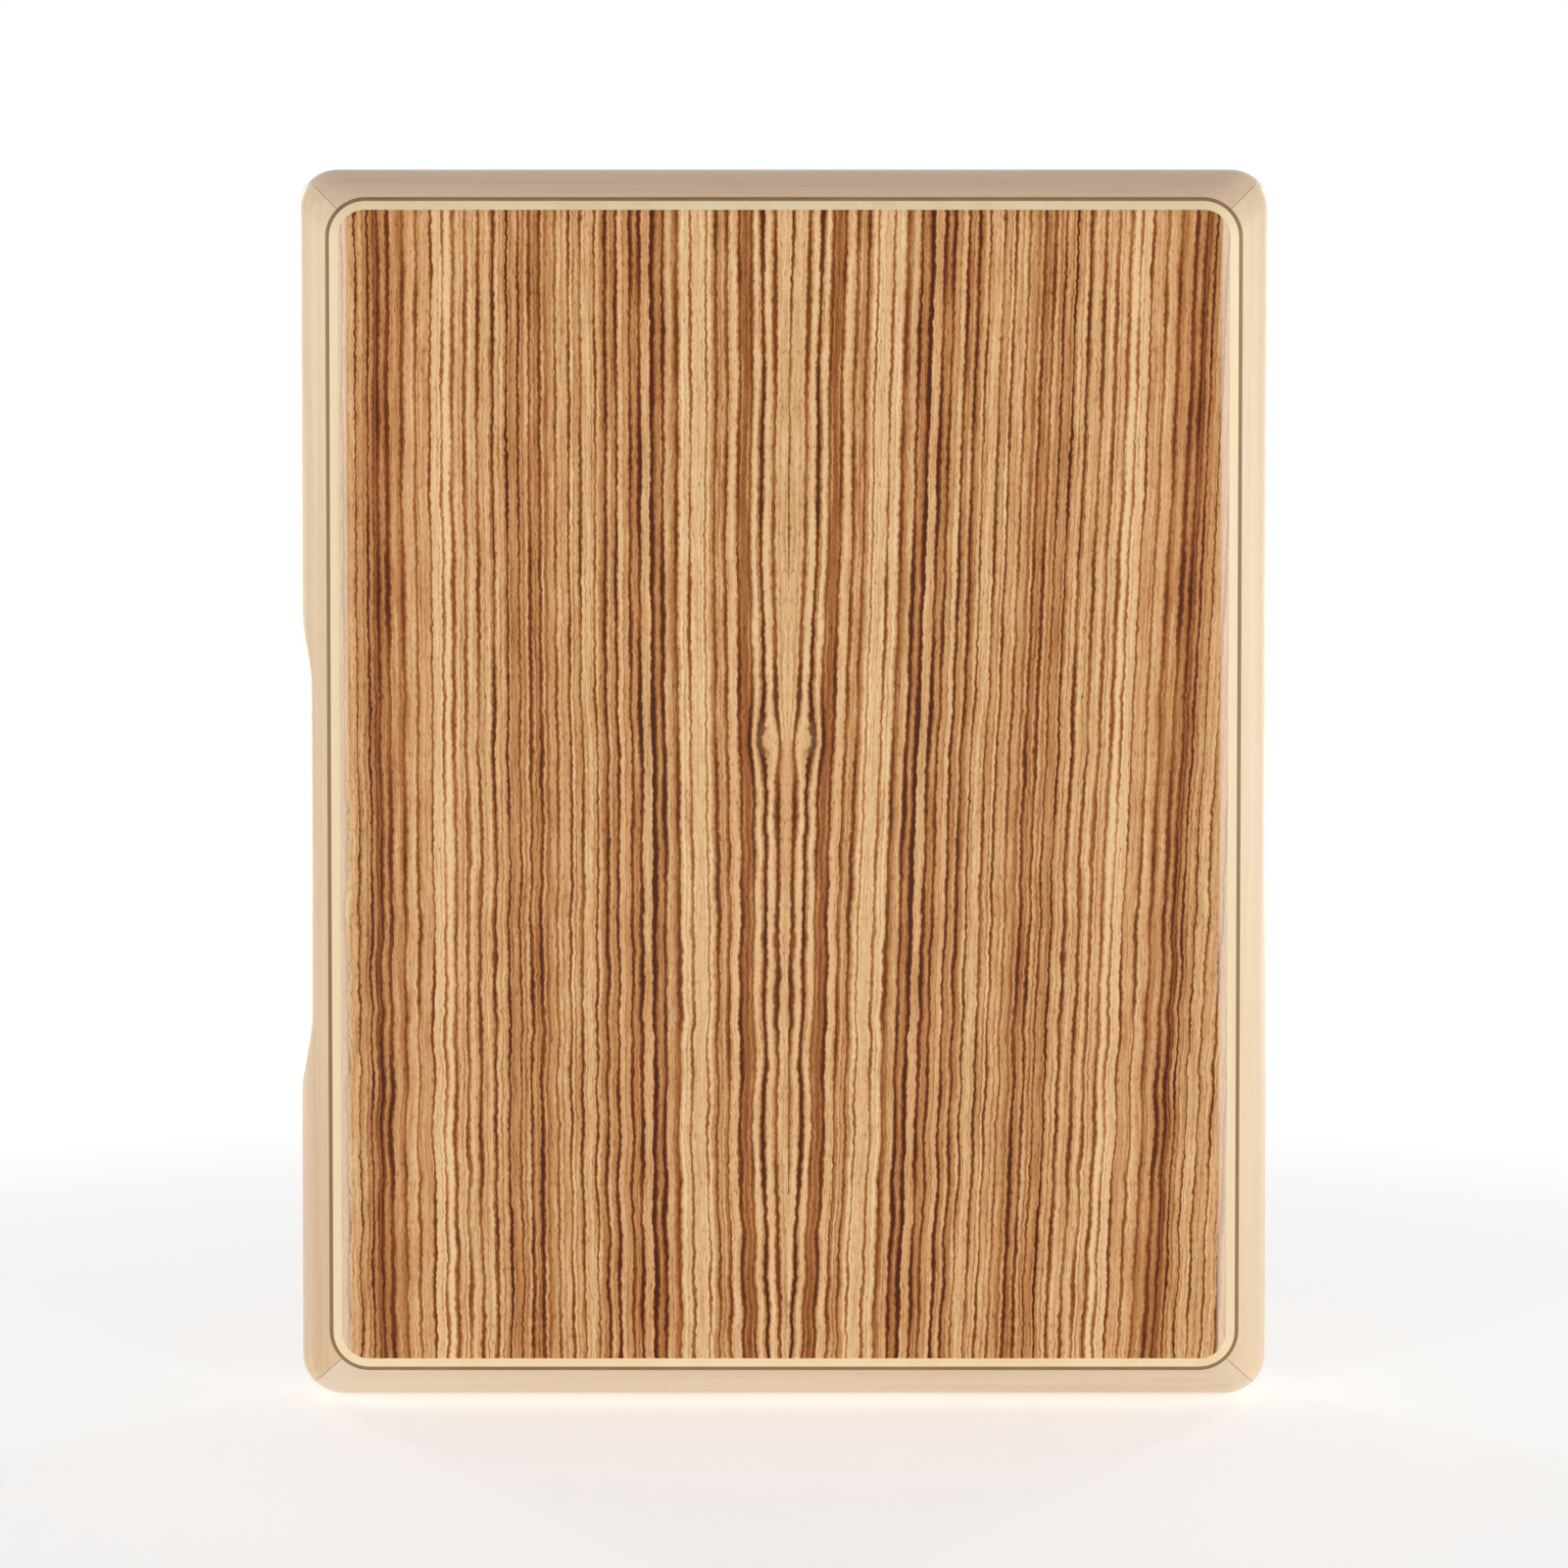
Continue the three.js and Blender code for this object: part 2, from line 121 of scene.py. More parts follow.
# %% Wiring, the helper for node trees
class Wiring:
    """Adds nodes to one tree and joins them as it goes."""

    def __init__(self, tree):
        self.tree = tree

    def feed(self, socket, value):
        """Gives a socket a fixed value or links an output to it."""
        if isinstance(value, bpy.types.NodeSocket):
            self.tree.links.new(value, socket)
        else:
            socket.default_value = value

    def node(self, kind, inputs=None, **settings):
        made = self.tree.nodes.new(kind)
        for name, value in settings.items():
            setattr(made, name, value)
        for name, value in (inputs or {}).items():
            self.feed(made.inputs[name], value)
        return made

    def maths(self, operation, *values):
        made = self.node("ShaderNodeMath", operation=operation)
        for socket, value in zip(made.inputs, values):
            self.feed(socket, value)
        return made.outputs[0]

    def add(self, first, second):
        return self.maths("ADD", first, second)

    def less(self, first, second):
        return self.maths("SUBTRACT", first, second)

    def times(self, first, second):
        return self.maths("MULTIPLY", first, second)

    def fade(self, value, start, end, first=0.0, last=1.0):
        """Runs smoothly from first to last while value goes from start to end."""
        made = self.node("ShaderNodeMapRange", interpolation_type="SMOOTHSTEP")
        ends = {"Value": value, "From Min": start, "From Max": end, "To Min": first, "To Max": last}
        for name, amount in ends.items():
            self.feed(made.inputs[name], amount)
        return made.outputs[0]

    def blend(self, share, first, second, kind="MIX"):
        """Mixes two colours."""
        made = self.node("ShaderNodeMix", data_type="RGBA", blend_type=kind)
        self.feed(made.inputs[0], share)
        self.feed(made.inputs[6], first)
        self.feed(made.inputs[7], second)
        return made.outputs[2]

    def join(self, x=0.0, y=0.0, z=0.0):
        return self.node("ShaderNodeCombineXYZ", {"X": x, "Y": y, "Z": z}).outputs[0]

    def parts(self, vector):
        return self.node("ShaderNodeSeparateXYZ", {"Vector": vector}).outputs

    def noise(self, vector, scale=1.0, detail=2.0):
        inputs = {"Vector": vector, "Scale": scale, "Detail": detail}
        return self.node("ShaderNodeTexNoise", inputs).outputs["Fac"]

    def group(self, tree, inputs):
        """Places a shared node group with its own values and gives its outputs."""
        made = self.node("ShaderNodeGroup", node_tree=tree)
        for name, value in inputs.items():
            self.feed(made.inputs[name], value)
        return made.outputs


def new_group(name, inputs, outputs):
    """A node group with named sockets. Returns its tree, its wiring, its inputs and its output node."""
    tree = bpy.data.node_groups.new(name, "ShaderNodeTree")
    kinds = {"number": "NodeSocketFloat", "vector": "NodeSocketVector", "colour": "NodeSocketColor"}
    for socket, kind in inputs.items():
        tree.interface.new_socket(socket, in_out="INPUT", socket_type=kinds[kind])
    for socket, kind in outputs.items():
        tree.interface.new_socket(socket, in_out="OUTPUT", socket_type=kinds[kind])
    wiring = Wiring(tree)
    return tree, wiring, wiring.node("NodeGroupInput").outputs, wiring.node("NodeGroupOutput").inputs


def grey(value):
    return (value, value, value, 1.0)


def paint(red, green, blue):
    """A colour as a picture editor gives it, from 0 to 255, turned into the linear values of a shader."""
    def linear(part):
        share = part / 255
        return share / 12.92 if share <= 0.04045 else ((share + 0.055) / 1.055) ** 2.4

    return (linear(red), linear(green), linear(blue), 1.0)


print("a light zebrano is", tuple(round(part, 3) for part in paint(236, 191, 141)))

# %% [markdown]
# ## Fold the pattern at the seam
#
# Veneer is sliced from a log in leaves that lie on each other like pages. Two neighbouring leaves
# are opened like a book and joined, so the figure of one side mirrors the other. The group below
# gives a leaf its own ruler: millimetres *across* the grain from the seam, and millimetres *along*
# it from the drum's middle. Leaning and converging lines come from bending that ruler, because
# a leaf is never laid quite in line with its edge.

# %% The ruler of a book-matched leaf
def build_leaf_ruler():
    tree, wiring, given, result = new_group(
        "leaf ruler",
        {"Vector": "vector", "Seam": "number", "Side": "number", "Slip": "number",
         "Lean": "number", "Converge": "number", "Half Height": "number"},
        {"Across": "number", "Along": "number"},
    )
    parts = wiring.parts(given["Vector"])
    along = wiring.times(parts["Z"], 1 / MM)
    from_seam = wiring.times(wiring.less(parts["X"], given["Seam"]), given["Side"])
    below_top = wiring.less(given["Half Height"], along)
    leaning = wiring.add(wiring.times(from_seam, 1 / MM), wiring.times(below_top, given["Lean"]))
    share = wiring.maths("DIVIDE", below_top, wiring.times(given["Half Height"], 2))
    squeeze = wiring.less(1, wiring.times(share, given["Converge"]))
    across = wiring.maths("DIVIDE", leaning, squeeze)
    wiring.feed(result["Across"], wiring.add(across, given["Slip"]))
    wiring.feed(result["Along"], along)
    return tree


leaf_ruler = build_leaf_ruler()
print("leaf ruler:", len(leaf_ruler.nodes), "nodes")

# %% [markdown]
# ## Let the grain wander
#
# A tree doesn't grow along a ruler. Its rings drift slowly, wriggle where the trunk was bent, and
# have ragged edges where the pores cut them. Three noises of different length move the ruler
# sideways. They read both directions, so neighbouring lines move together. The wriggle grows
# towards the foot of the drum.

# %% The wandering grain
def build_grain_wander():
    tree, wiring, given, result = new_group(
        "grain wander",
        {"Across": "number", "Along": "number", "Seed": "number",
         "Drift": "number", "Wriggle": "number", "Ragged": "number"},
        {"Across": "number"},
    )

    def sway(across_scale, along_scale, detail, shift):
        place = wiring.join(
            wiring.times(given["Across"], across_scale),
            wiring.times(given["Along"], along_scale),
            wiring.add(given["Seed"], shift),
        )
        return wiring.less(wiring.noise(place, detail=detail), 0.5)

    lower = wiring.fade(given["Along"], 90, -70, 0.4, 1.0)
    drift = wiring.times(sway(0.012, 0.009, 1, 0), given["Drift"])
    wriggle = wiring.times(sway(0.07, 0.075, 2, 7), wiring.times(given["Wriggle"], lower))
    ragged = wiring.times(sway(0.8, 0.6, 2, 13), given["Ragged"])
    moved = wiring.add(wiring.add(given["Across"], drift), wiring.add(wriggle, ragged))
    wiring.feed(result["Across"], moved)
    return tree


grain_wander = build_grain_wander()
print("grain wander:", len(grain_wander.nodes), "nodes")

# %% [markdown]
# ## Bend the grain round a knot
#
# Where a twig grew, the rings part and close again. The group pulls the ruler towards the knot's
# middle, which spreads the figure there and leaves a small calm eye, and it gives a mask of the
# eye. Without any pull it gives the mask alone. That draws the flames, the single dark or pale
# streaks above, below and beside a knot.

# %% The knot
def build_knot_swirl():
    tree, wiring, given, result = new_group(
        "knot swirl",
        {"Across": "number", "Along": "number", "Knot Across": "number", "Knot Along": "number",
         "Width": "number", "Length": "number", "Pull": "number"},
        {"Across": "number", "Eye": "number"},
    )
    sideways = wiring.less(given["Across"], given["Knot Across"])
    lengthways = wiring.less(given["Along"], given["Knot Along"])
    wide = wiring.maths("POWER", wiring.maths("DIVIDE", sideways, given["Width"]), 2)
    long = wiring.maths("POWER", wiring.maths("DIVIDE", lengthways, given["Length"]), 2)
    near = wiring.maths("EXPONENT", wiring.times(wiring.add(wide, long), -1))
    pulled = wiring.less(given["Across"], wiring.times(sideways, wiring.times(near, given["Pull"])))
    wiring.feed(result["Across"], pulled)
    wiring.feed(result["Eye"], near)
    return tree


knot_swirl = build_knot_swirl()
print("knot swirl:", len(knot_swirl.nodes), "nodes")

# %% [markdown]
# ## Draw the zebrano figure
#
# Zebrano is named after its stripes: thin dark-brown lines on golden wood, never evenly spaced.
# A one-dimensional cell pattern scatters such lines on its borders, and its random colour gives
# each line its own width and depth and each gap its own tone. The lines come in two sizes.
# Fibres make the ground uneven, short pores darken it and broken streaks make it paler. The sum
# is one darkness, and a colour ramp turns that into wood, from pale gold to near black.

# %% The figure
def build_zebrano_figure():
    tree, wiring, given, result = new_group(
        "zebrano figure",
        {"Across": "number", "Along": "number", "Seed": "number", "Tone": "number",
         "Spacing": "number", "Line Depth": "number", "Fine Depth": "number", "Gap Tone": "number",
         "Fibre Depth": "number", "Streak Depth": "number", "Pore Depth": "number",
         "Redness": "number"},
        {"Colour": "colour", "Darkness": "number", "Height": "number"},
    )

    def grain_noise(across_scale, along_scale, detail, shift):
        place = wiring.join(
            wiring.times(given["Across"], across_scale),
            wiring.times(given["Along"], along_scale),
            wiring.add(given["Seed"], shift),
        )
        return wiring.noise(place, detail=detail)

    def drawn_lines(spacing, shift, thinnest, widest, faintest, along_scale):
        """Lines on the borders of random cells. The cell on each side sets its half of the line."""
        place = wiring.add(wiring.maths("DIVIDE", given["Across"], spacing), wiring.add(given["Seed"], shift))
        inputs = {"W": place, "Scale": 1.0, "Randomness": 0.85}
        cells = wiring.node("ShaderNodeTexVoronoi", inputs, voronoi_dimensions="1D")
        borders = wiring.node(
            "ShaderNodeTexVoronoi", inputs, voronoi_dimensions="1D", feature="DISTANCE_TO_EDGE"
        )
        own = wiring.parts(cells.outputs["Color"])
        ebb = wiring.fade(grain_noise(0.3, along_scale, 3, shift), 0.3, 0.7, 0.65, 1.12)
        width = wiring.times(wiring.fade(own["X"], 0, 1, thinnest, widest), ebb)
        depth = wiring.times(wiring.fade(own["Y"], 0, 1, faintest, 1), ebb)
        away = wiring.times(borders.outputs["Distance"], spacing)
        line = wiring.fade(away, wiring.times(width, 0.15), wiring.times(width, 1.5), 1, 0)
        return wiring.times(line, depth), wiring.less(own["Z"], 0.5)

    broad, gap = drawn_lines(given["Spacing"], 3.1, 0.3, 0.8, 0.6, 0.03)
    thin, strip = drawn_lines(1.4, 41.7, 0.1, 0.34, 0.15, 0.05)
    calm = wiring.fade(given["Tone"], 0.02, 0.2, 0.75, 1.0)
    broad = wiring.times(wiring.times(broad, given["Line Depth"]), calm)
    thin = wiring.times(thin, given["Fine Depth"])
    lines = wiring.maths("MAXIMUM", broad, thin)
    lines = wiring.times(lines, wiring.less(1, wiring.times(given["Tone"], 0.35)))
    gaps = wiring.times(wiring.add(gap, wiring.times(strip, 0.5)), given["Gap Tone"])
    cloud = wiring.times(wiring.less(grain_noise(0.8, 0.035, 3, 23), 0.5), 0.8)
    fibre = wiring.add(wiring.less(grain_noise(2.6, 0.09, 4, 5), 0.5), cloud)
    fibre = wiring.times(fibre, given["Fibre Depth"])
    streak = wiring.fade(grain_noise(1.0, 0.024, 3, 17), 0.56, 0.68)
    streak = wiring.times(streak, given["Streak Depth"])
    pore = wiring.fade(grain_noise(3.6, 0.42, 2, 9), 0.56, 0.7)
    pores = wiring.times(pore, given["Pore Depth"])
    ground = wiring.maths("MAXIMUM", wiring.add(wiring.add(given["Tone"], gaps), fibre), 0.0)
    shade = wiring.add(ground, lines)
    darkness = wiring.add(wiring.less(shade, streak), pores)
    ramp = wiring.node("ShaderNodeValToRGB", {"Fac": darkness})
    woods = [
        (0.0, paint(250, 216, 168)),
        (0.14, paint(239, 197, 144)),
        (0.34, paint(208, 153, 96)),
        (0.55, paint(170, 106, 54)),
        (0.78, paint(129, 66, 20)),
        (1.0, paint(79, 34, 5)),
    ]
    fill_ramp(ramp.color_ramp, woods)
    reddened = wiring.blend(given["Redness"], ramp.outputs["Color"], paint(250, 234, 226), "MULTIPLY")
    wiring.feed(result["Colour"], reddened)
    wiring.feed(result["Darkness"], darkness)
    wiring.feed(result["Height"], wiring.less(0.6, wiring.add(wiring.times(darkness, 0.3), pores)))
    return tree


def fill_ramp(ramp, stops):
    """Sets a colour ramp's stops, each given as a place from 0 to 1 and a colour."""
    while len(ramp.elements) > 1:
        ramp.elements.remove(ramp.elements[-1])
    ramp.elements[0].position, ramp.elements[0].color = stops[0]
    for place, colour in stops[1:]:
        ramp.elements.new(place).color = colour


zebrano_figure = build_zebrano_figure()
print("zebrano figure:", len(zebrano_figure.nodes), "nodes")

# %% [markdown]
# ## Pale timber for the rails
#
# The rails, the glue blocks and the edge of the plywood are pale close-grained wood, like maple.
# Up close it has long faint streaks, a slow change of tone, soft growth rings and tiny flecks.
# The grain runs along Z in the group, and a Mapping node turns it for rails that lie along X.

# %% The pale timber
def build_pale_timber():
    tree, wiring, given, result = new_group(
        "pale timber",
        {"Vector": "vector", "Seed": "number", "Light": "colour", "Dark": "colour", "Figure": "number"},
        {"Colour": "colour", "Height": "number"},
    )

    def streaks(across_scale, along_scale, detail, shift):
        stretch = wiring.node("ShaderNodeMapping", {"Vector": given["Vector"]})
        stretch.inputs["Scale"].default_value = (across_scale, across_scale, along_scale)
        wiring.feed(stretch.inputs["Location"], wiring.join(wiring.add(given["Seed"], shift), given["Seed"]))
        return wiring.noise(stretch.outputs[0], detail=detail)

    drift = wiring.fade(streaks(22, 5, 2, 0), 0.3, 0.7)
    rings = wiring.fade(streaks(150, 4, 3, 11), 0.35, 0.7)
    fibres = wiring.fade(streaks(900, 22, 3, 23), 0.35, 0.75)
    flecks = wiring.fade(streaks(1500, 260, 1, 37), 0.66, 0.74)
    soft = wiring.add(wiring.times(drift, 0.38), wiring.times(rings, 0.34))
    shade = wiring.add(soft, wiring.add(wiring.times(fibres, 0.2), wiring.times(flecks, 0.22)))
    share = wiring.times(shade, given["Figure"])
    wiring.feed(result["Colour"], wiring.blend(share, given["Light"], given["Dark"]))
    wiring.feed(result["Height"], wiring.less(1, wiring.add(wiring.times(fibres, 0.5), flecks)))
    return tree


pale_timber = build_pale_timber()
print("pale timber:", len(pale_timber.nodes), "nodes")

# %% [markdown]
# ## Satin lacquer
#
# The whole drum is sprayed with a satin lacquer. It lies in a film with a very slight waviness,
# and it is a little duller where hands rub it. The group adds the film's waviness to the wood's
# own height, and gives a roughness that varies by a few hundredths.

# %% The lacquer film
def build_lacquer_film():
    tree, wiring, given, result = new_group(
        "lacquer film",
        {"Vector": "vector", "Wood Height": "number", "Dullness": "number"},
        {"Height": "number", "Roughness": "number"},
    )
    ripple = wiring.noise(given["Vector"], scale=420, detail=1)
    handled = wiring.fade(wiring.noise(given["Vector"], scale=28, detail=3), 0.3, 0.7, -0.04, 0.05)
    grain = wiring.times(given["Wood Height"], 0.7)
    wiring.feed(result["Height"], wiring.add(grain, wiring.times(ripple, 0.6)))
    wiring.feed(result["Roughness"], wiring.add(given["Dullness"], handled))
    return tree


lacquer_film = build_lacquer_film()


def new_material(name):
    """An empty material with its shader, its wiring and the place in the object's own coordinates."""
    material = bpy.data.materials.new(name)
    material.use_nodes = True
    material.node_tree.nodes.clear()
    wiring = Wiring(material.node_tree)
    shader = wiring.node("ShaderNodeBsdfPrincipled")
    output = wiring.node("ShaderNodeOutputMaterial")
    wiring.feed(output.inputs["Surface"], shader.outputs[0])
    place = wiring.node("ShaderNodeTexCoord").outputs["Object"]
    return material, wiring, shader, place


def lacquered(wiring, shader, place, colour, height, dullness, relief):
    """Finishes a wood: colour and grain under a satin coat. Relief is the depth of the grain in metres."""
    film = wiring.group(lacquer_film, {"Vector": place, "Wood Height": height, "Dullness": dullness})
    bump = wiring.node("ShaderNodeBump", {"Height": film["Height"], "Distance": relief})
    wiring.feed(shader.inputs["Base Color"], colour)
    wiring.feed(shader.inputs["Roughness"], film["Roughness"])
    wiring.feed(shader.inputs["Normal"], bump.outputs[0])
    shader.inputs["Coat Weight"].default_value = 0.25
    shader.inputs["Coat Roughness"].default_value = 0.22
    shader.inputs["Specular IOR Level"].default_value = 0.05


print("lacquer film:", len(lacquer_film.nodes), "nodes")

# %% [markdown]
# ## Four leaves of zebrano
#
# The playing face has narrow lines, and the back has bold bands with two black knots. Both are
# built from the same groups. What makes each face its own is a short list of *zones*, broad
# changes of tone from the seam outwards, and of *stripes*, the lines that catch the eye. They are
# in millimetres from the seam, and a tone runs from 0, pale gold, to 1, near black. Towards the
# outer sides the wood is drawn paler, a painted highlight along the edge, with a frayed border.

# %% Zones and stripes as colour ramps
leaf_reach = (half_width - face_level * 0.5) / MM


def zone_ramp(wiring, across, zones, softness):
    """Steps from tone to tone: each zone is its inner edge in millimetres and its tone."""
    ramp = wiring.node("ShaderNodeValToRGB", {"Fac": wiring.times(across, 1 / leaf_reach)})
    stops = [(0.0, grey(zones[0][1]))]
    for (_, before), (edge, tone) in zip(zones, zones[1:]):
        stops.append(((edge - softness) / leaf_reach, grey(before)))
        stops.append(((edge + softness) / leaf_reach, grey(tone)))
    fill_ramp(ramp.color_ramp, stops)
    return ramp.outputs["Color"]


def stripe_ramp(wiring, across, stripes):
    """Single lines: each is its middle and half width in millimetres and its depth."""
    ramp = wiring.node("ShaderNodeValToRGB", {"Fac": wiring.times(across, 1 / leaf_reach)})
    stops = [(0.0, grey(0))]
    for middle, half, depth in stripes:
        stops.append(((middle - half) / leaf_reach, grey(0)))
        stops.append((middle / leaf_reach, grey(depth)))
        stops.append(((middle + half) / leaf_reach, grey(0)))
    fill_ramp(ramp.color_ramp, stops)
    return ramp.outputs["Color"]


print("the ruler reaches", round(leaf_reach, 1), "mm from the seam")

# %% [markdown]
# ## The wood of the playing face
#
# The front is calm: narrow lines on a light ground, broken by a few darker ones, and a small
# pale knot on each side of the seam. Both leaves read the same lists, and each has its own lean,
# because no two leaves are laid quite alike.

# %% The playing face
tapa_zones = [
    (0, 0.22), (7, 0.24), (20, 0.21), (29, 0.23), (36, 0.28), (41, 0.22), (48, 0.17),
    (55, 0.24), (63, 0.22), (76, 0.18), (82, 0.13), (87, 0.24), (94, 0.33), (104, 0.27),
]
tapa_dark = [
    (6.2, 0.7, 0.4), (10.6, 0.7, 0.4), (18.8, 0.8, 0.35), (28.6, 0.6, 0.35), (33.6, 1.1, 0.4),
    (46.2, 0.8, 0.35), (60.3, 0.8, 0.3), (66.0, 0.7, 0.3), (96.5, 0.7, 0.25), (102.5, 1.2, 0.2),
]
tapa_light = [(2.4, 0.6, 0.08), (24.0, 0.8, 0.08), (51.2, 0.8, 0.08), (85.0, 1.2, 0.08)]

# A painted highlight: along the outer sides of each face the wood is blended towards pale cream.
painted_highlight_from = half_width - 14.5 * MM
painted_highlight_fade = 1.0 * MM
painted_highlight_fraying = 0.4 * MM
painted_highlight_colour = paint(250, 228, 204)


def zebrano_leaf(name, seam, side, lean, converge, slip, zones, dark, light, knot, figure):
    """The material of one leaf. Side is 1 where the leaf lies towards +X from its seam, else -1."""
    material, wiring, shader, place = new_material(name)
    ruler = wiring.group(leaf_ruler, {
        "Vector": place, "Seam": seam, "Side": side, "Slip": slip,
        "Lean": lean, "Converge": converge, "Half Height": half_height / MM,
    })
    across = ruler["Across"]
    along = ruler["Along"]
    swirl = wiring.group(knot_swirl, {"Across": across, "Along": along, **knot["place"]})
    across = swirl["Across"]
    eye = swirl["Eye"]
    across = wiring.group(grain_wander, {
        "Across": across, "Along": along, "Seed": figure["seed"], "Drift": figure["drift"],
        "Wriggle": figure["wriggle"], "Ragged": figure["ragged"],
    })["Across"]
    tone = wiring.add(
        zone_ramp(wiring, across, zones, figure["softness"]), stripe_ramp(wiring, across, dark)
    )
    low = wiring.fade(along, 60, -140, 0.0, figure["burn"])
    tone = wiring.times(tone, wiring.add(1, wiring.times(low, wiring.fade(across, 42, 60, 1.0, 0.0))))
    tone = wiring.less(tone, stripe_ramp(wiring, across, light))
    for flame in knot["flames"]:
        streak = wiring.group(knot_swirl, {"Across": across, "Along": along, "Pull": 0.0, **flame["place"]})
        tone = wiring.add(tone, wiring.times(streak["Eye"], flame["depth"]))
    slow = wiring.join(wiring.times(across, 0.05), wiring.times(along, 0.006), figure["seed"])
    redness = wiring.fade(wiring.noise(slow), 0.4, 0.65, 0.0, figure["redness"])
    wood = wiring.group(zebrano_figure, {
        "Across": across, "Along": along, "Seed": figure["seed"], "Tone": tone,
        "Spacing": figure["spacing"], "Line Depth": figure["lines"], "Fine Depth": figure["fine"],
        "Gap Tone": figure["gaps"], "Fibre Depth": figure["fibre"], "Streak Depth": figure["streaks"],
        "Pore Depth": figure["pores"], "Redness": redness,
    })
    torn_eye = wiring.add(eye, wiring.times(wiring.less(wood["Darkness"], 0.5), 0.5))
    pupil = wiring.fade(torn_eye, knot["edge"] - 0.1, knot["edge"] + 0.1, 0.0, knot["strength"])
    pupil = wiring.times(pupil, wiring.fade(eye, 0.12, 0.3))
    colour = wiring.blend(pupil, wood["Colour"], knot["colour"])
    # Painted highlight: near the outer sides the colour turns pale cream, its border frayed by the grain.
    sideways = wiring.maths("ABSOLUTE", wiring.parts(place)["X"])
    frayed = wiring.add(sideways, wiring.times(wiring.less(wood["Darkness"], 0.3), painted_highlight_fraying))
    painted_highlight = wiring.fade(frayed, painted_highlight_from, painted_highlight_from + painted_highlight_fade, 0.0, 0.6)
    colour = wiring.blend(painted_highlight, colour, painted_highlight_colour)
    lacquered(wiring, shader, place, colour, wood["Height"], 0.42, 0.05 * MM)
    return material


tapa_figure = {
    "seed": 2.0, "drift": 3.5, "wriggle": 2.2, "ragged": 1.0, "softness": 0.8, "burn": 0.0,
    "spacing": 3.1, "lines": 0.85, "fine": 0.32, "gaps": 0.27, "fibre": 0.5, "streaks": 0.05,
    "pores": 0.22, "redness": 0.5,
}
tapa_knot = {
    "place": {"Knot Across": 5.4, "Knot Along": 12.0, "Width": 3.4, "Length": 6.0, "Pull": 0.75},
    "edge": 0.8, "strength": 0.1, "colour": paint(246, 206, 154),
    "flames": [
        {"place": {"Knot Across": 9.4, "Knot Along": 10.0, "Width": 0.6, "Length": 8.0}, "depth": 0.7},
        {"place": {"Knot Across": 2.6, "Knot Along": -4.0, "Width": 0.5, "Length": 12.0}, "depth": 0.4},
    ],
}
tapa_left_wood = zebrano_leaf(
    "tapa veneer left", front_seam, -1, lean=0.003, converge=0.0, slip=0.0,
    zones=tapa_zones, dark=tapa_dark, light=tapa_light, knot=tapa_knot, figure=tapa_figure,
)
tapa_right_wood = zebrano_leaf(
    "tapa veneer right", front_seam, 1, lean=0.025, converge=0.06, slip=-2.8,
    zones=tapa_zones, dark=tapa_dark, light=tapa_light, knot=tapa_knot, figure=tapa_figure,
)
print("playing face:", len(tapa_zones), "zones and", len(tapa_dark), "dark stripes")

# %% [markdown]
# ## The wood of the back
#
# The back is cut from wilder wood. A dark band runs down each leaf between pale ones, and each
# leaf has a small black knot with flames above, below and beside it. The lines lie closer
# together than on the front, and the grain closes in towards the foot of the drum.

# %% The back
back_zones = [
    (0, 0.46), (2.5, 0.52), (13, 0.46), (22.0, 0.1), (25.8, 0.6), (40, 0.36), (45, 0.1),
    (48, 0.36), (50, 0.08), (56, 0.36), (65.5, 0.08), (70, 0.42), (84, 0.36), (94, 0.44), (101, 0.16),
]
back_dark = [
    (18.8, 0.8, 0.12), (29.0, 0.8, 0.12), (33.5, 2.0, 0.12), (41.7, 0.8, 0.3), (60.0, 0.8, 0.25),
    (72.3, 0.9, 0.25), (75.3, 0.8, 0.25), (81.5, 1.4, 0.2), (97.0, 1.6, 0.1), (102.6, 0.8, 0.4),
]
back_light = [
    (2.3, 0.5, 0.15), (13.6, 0.7, 0.16), (17.5, 0.6, 0.14), (30.8, 0.4, 0.4), (40.2, 0.7, 0.35),
    (58.0, 0.5, 0.25), (78.3, 1.0, 0.4), (83.7, 0.7, 0.4), (93.0, 0.7, 0.4), (100.2, 0.7, 0.4),
]
back_figure = {
    "seed": 31.0, "drift": 4.0, "wriggle": 1.4, "ragged": 0.6, "softness": 0.4, "burn": 0.35,
    "spacing": 1.9, "lines": 0.55, "fine": 0.46, "gaps": 0.36, "fibre": 0.62, "streaks": 0.3,
    "pores": 0.24, "redness": 0.6,
}
back_knot = {
    "place": {"Knot Across": 12.6, "Knot Along": -1.5, "Width": 1.6, "Length": 6.5, "Pull": 0.35},
    "edge": 0.45, "strength": 1.0, "colour": paint(40, 22, 14),
    "flames": [
        {"place": {"Knot Across": 12.3, "Knot Along": -24.0, "Width": 0.5, "Length": 18.0}, "depth": -0.4},
        {"place": {"Knot Across": 13.0, "Knot Along": 8.0, "Width": 0.5, "Length": 7.0}, "depth": -0.4},
        {"place": {"Knot Across": 14.4, "Knot Along": -8.0, "Width": 0.8, "Length": 14.0}, "depth": 0.3},
    ],
}
back_left_wood = zebrano_leaf(
    "back veneer left", back_seam, -1, lean=-0.005, converge=0.09, slip=0.0,
    zones=back_zones, dark=back_dark, light=back_light, knot=back_knot, figure=back_figure,
)
back_right_wood = zebrano_leaf(
    "back veneer right", back_seam, 1, lean=0.007, converge=0.1, slip=0.5,
    zones=back_zones, dark=back_dark, light=back_light, knot=back_knot, figure=back_figure,
)
print("back:", len(back_zones), "zones and", len(back_dark + back_light), "stripes")

# %% [markdown]
# ## Rails, plywood, purfling and blocks
#
# Each rail is its own board, so each gets its own seed and a slightly different pair of tones.
# That is what makes a mitre visible in plain wood: the grain turns the corner and the tone jumps.

# %% Pale woods
# Painted shade: the drum's inside walls are coloured nearly black, where shade lies in the closed box.
tarnish_and_painted_shade = paint(30, 26, 23)
painted_shade_margin = 0.05 * MM


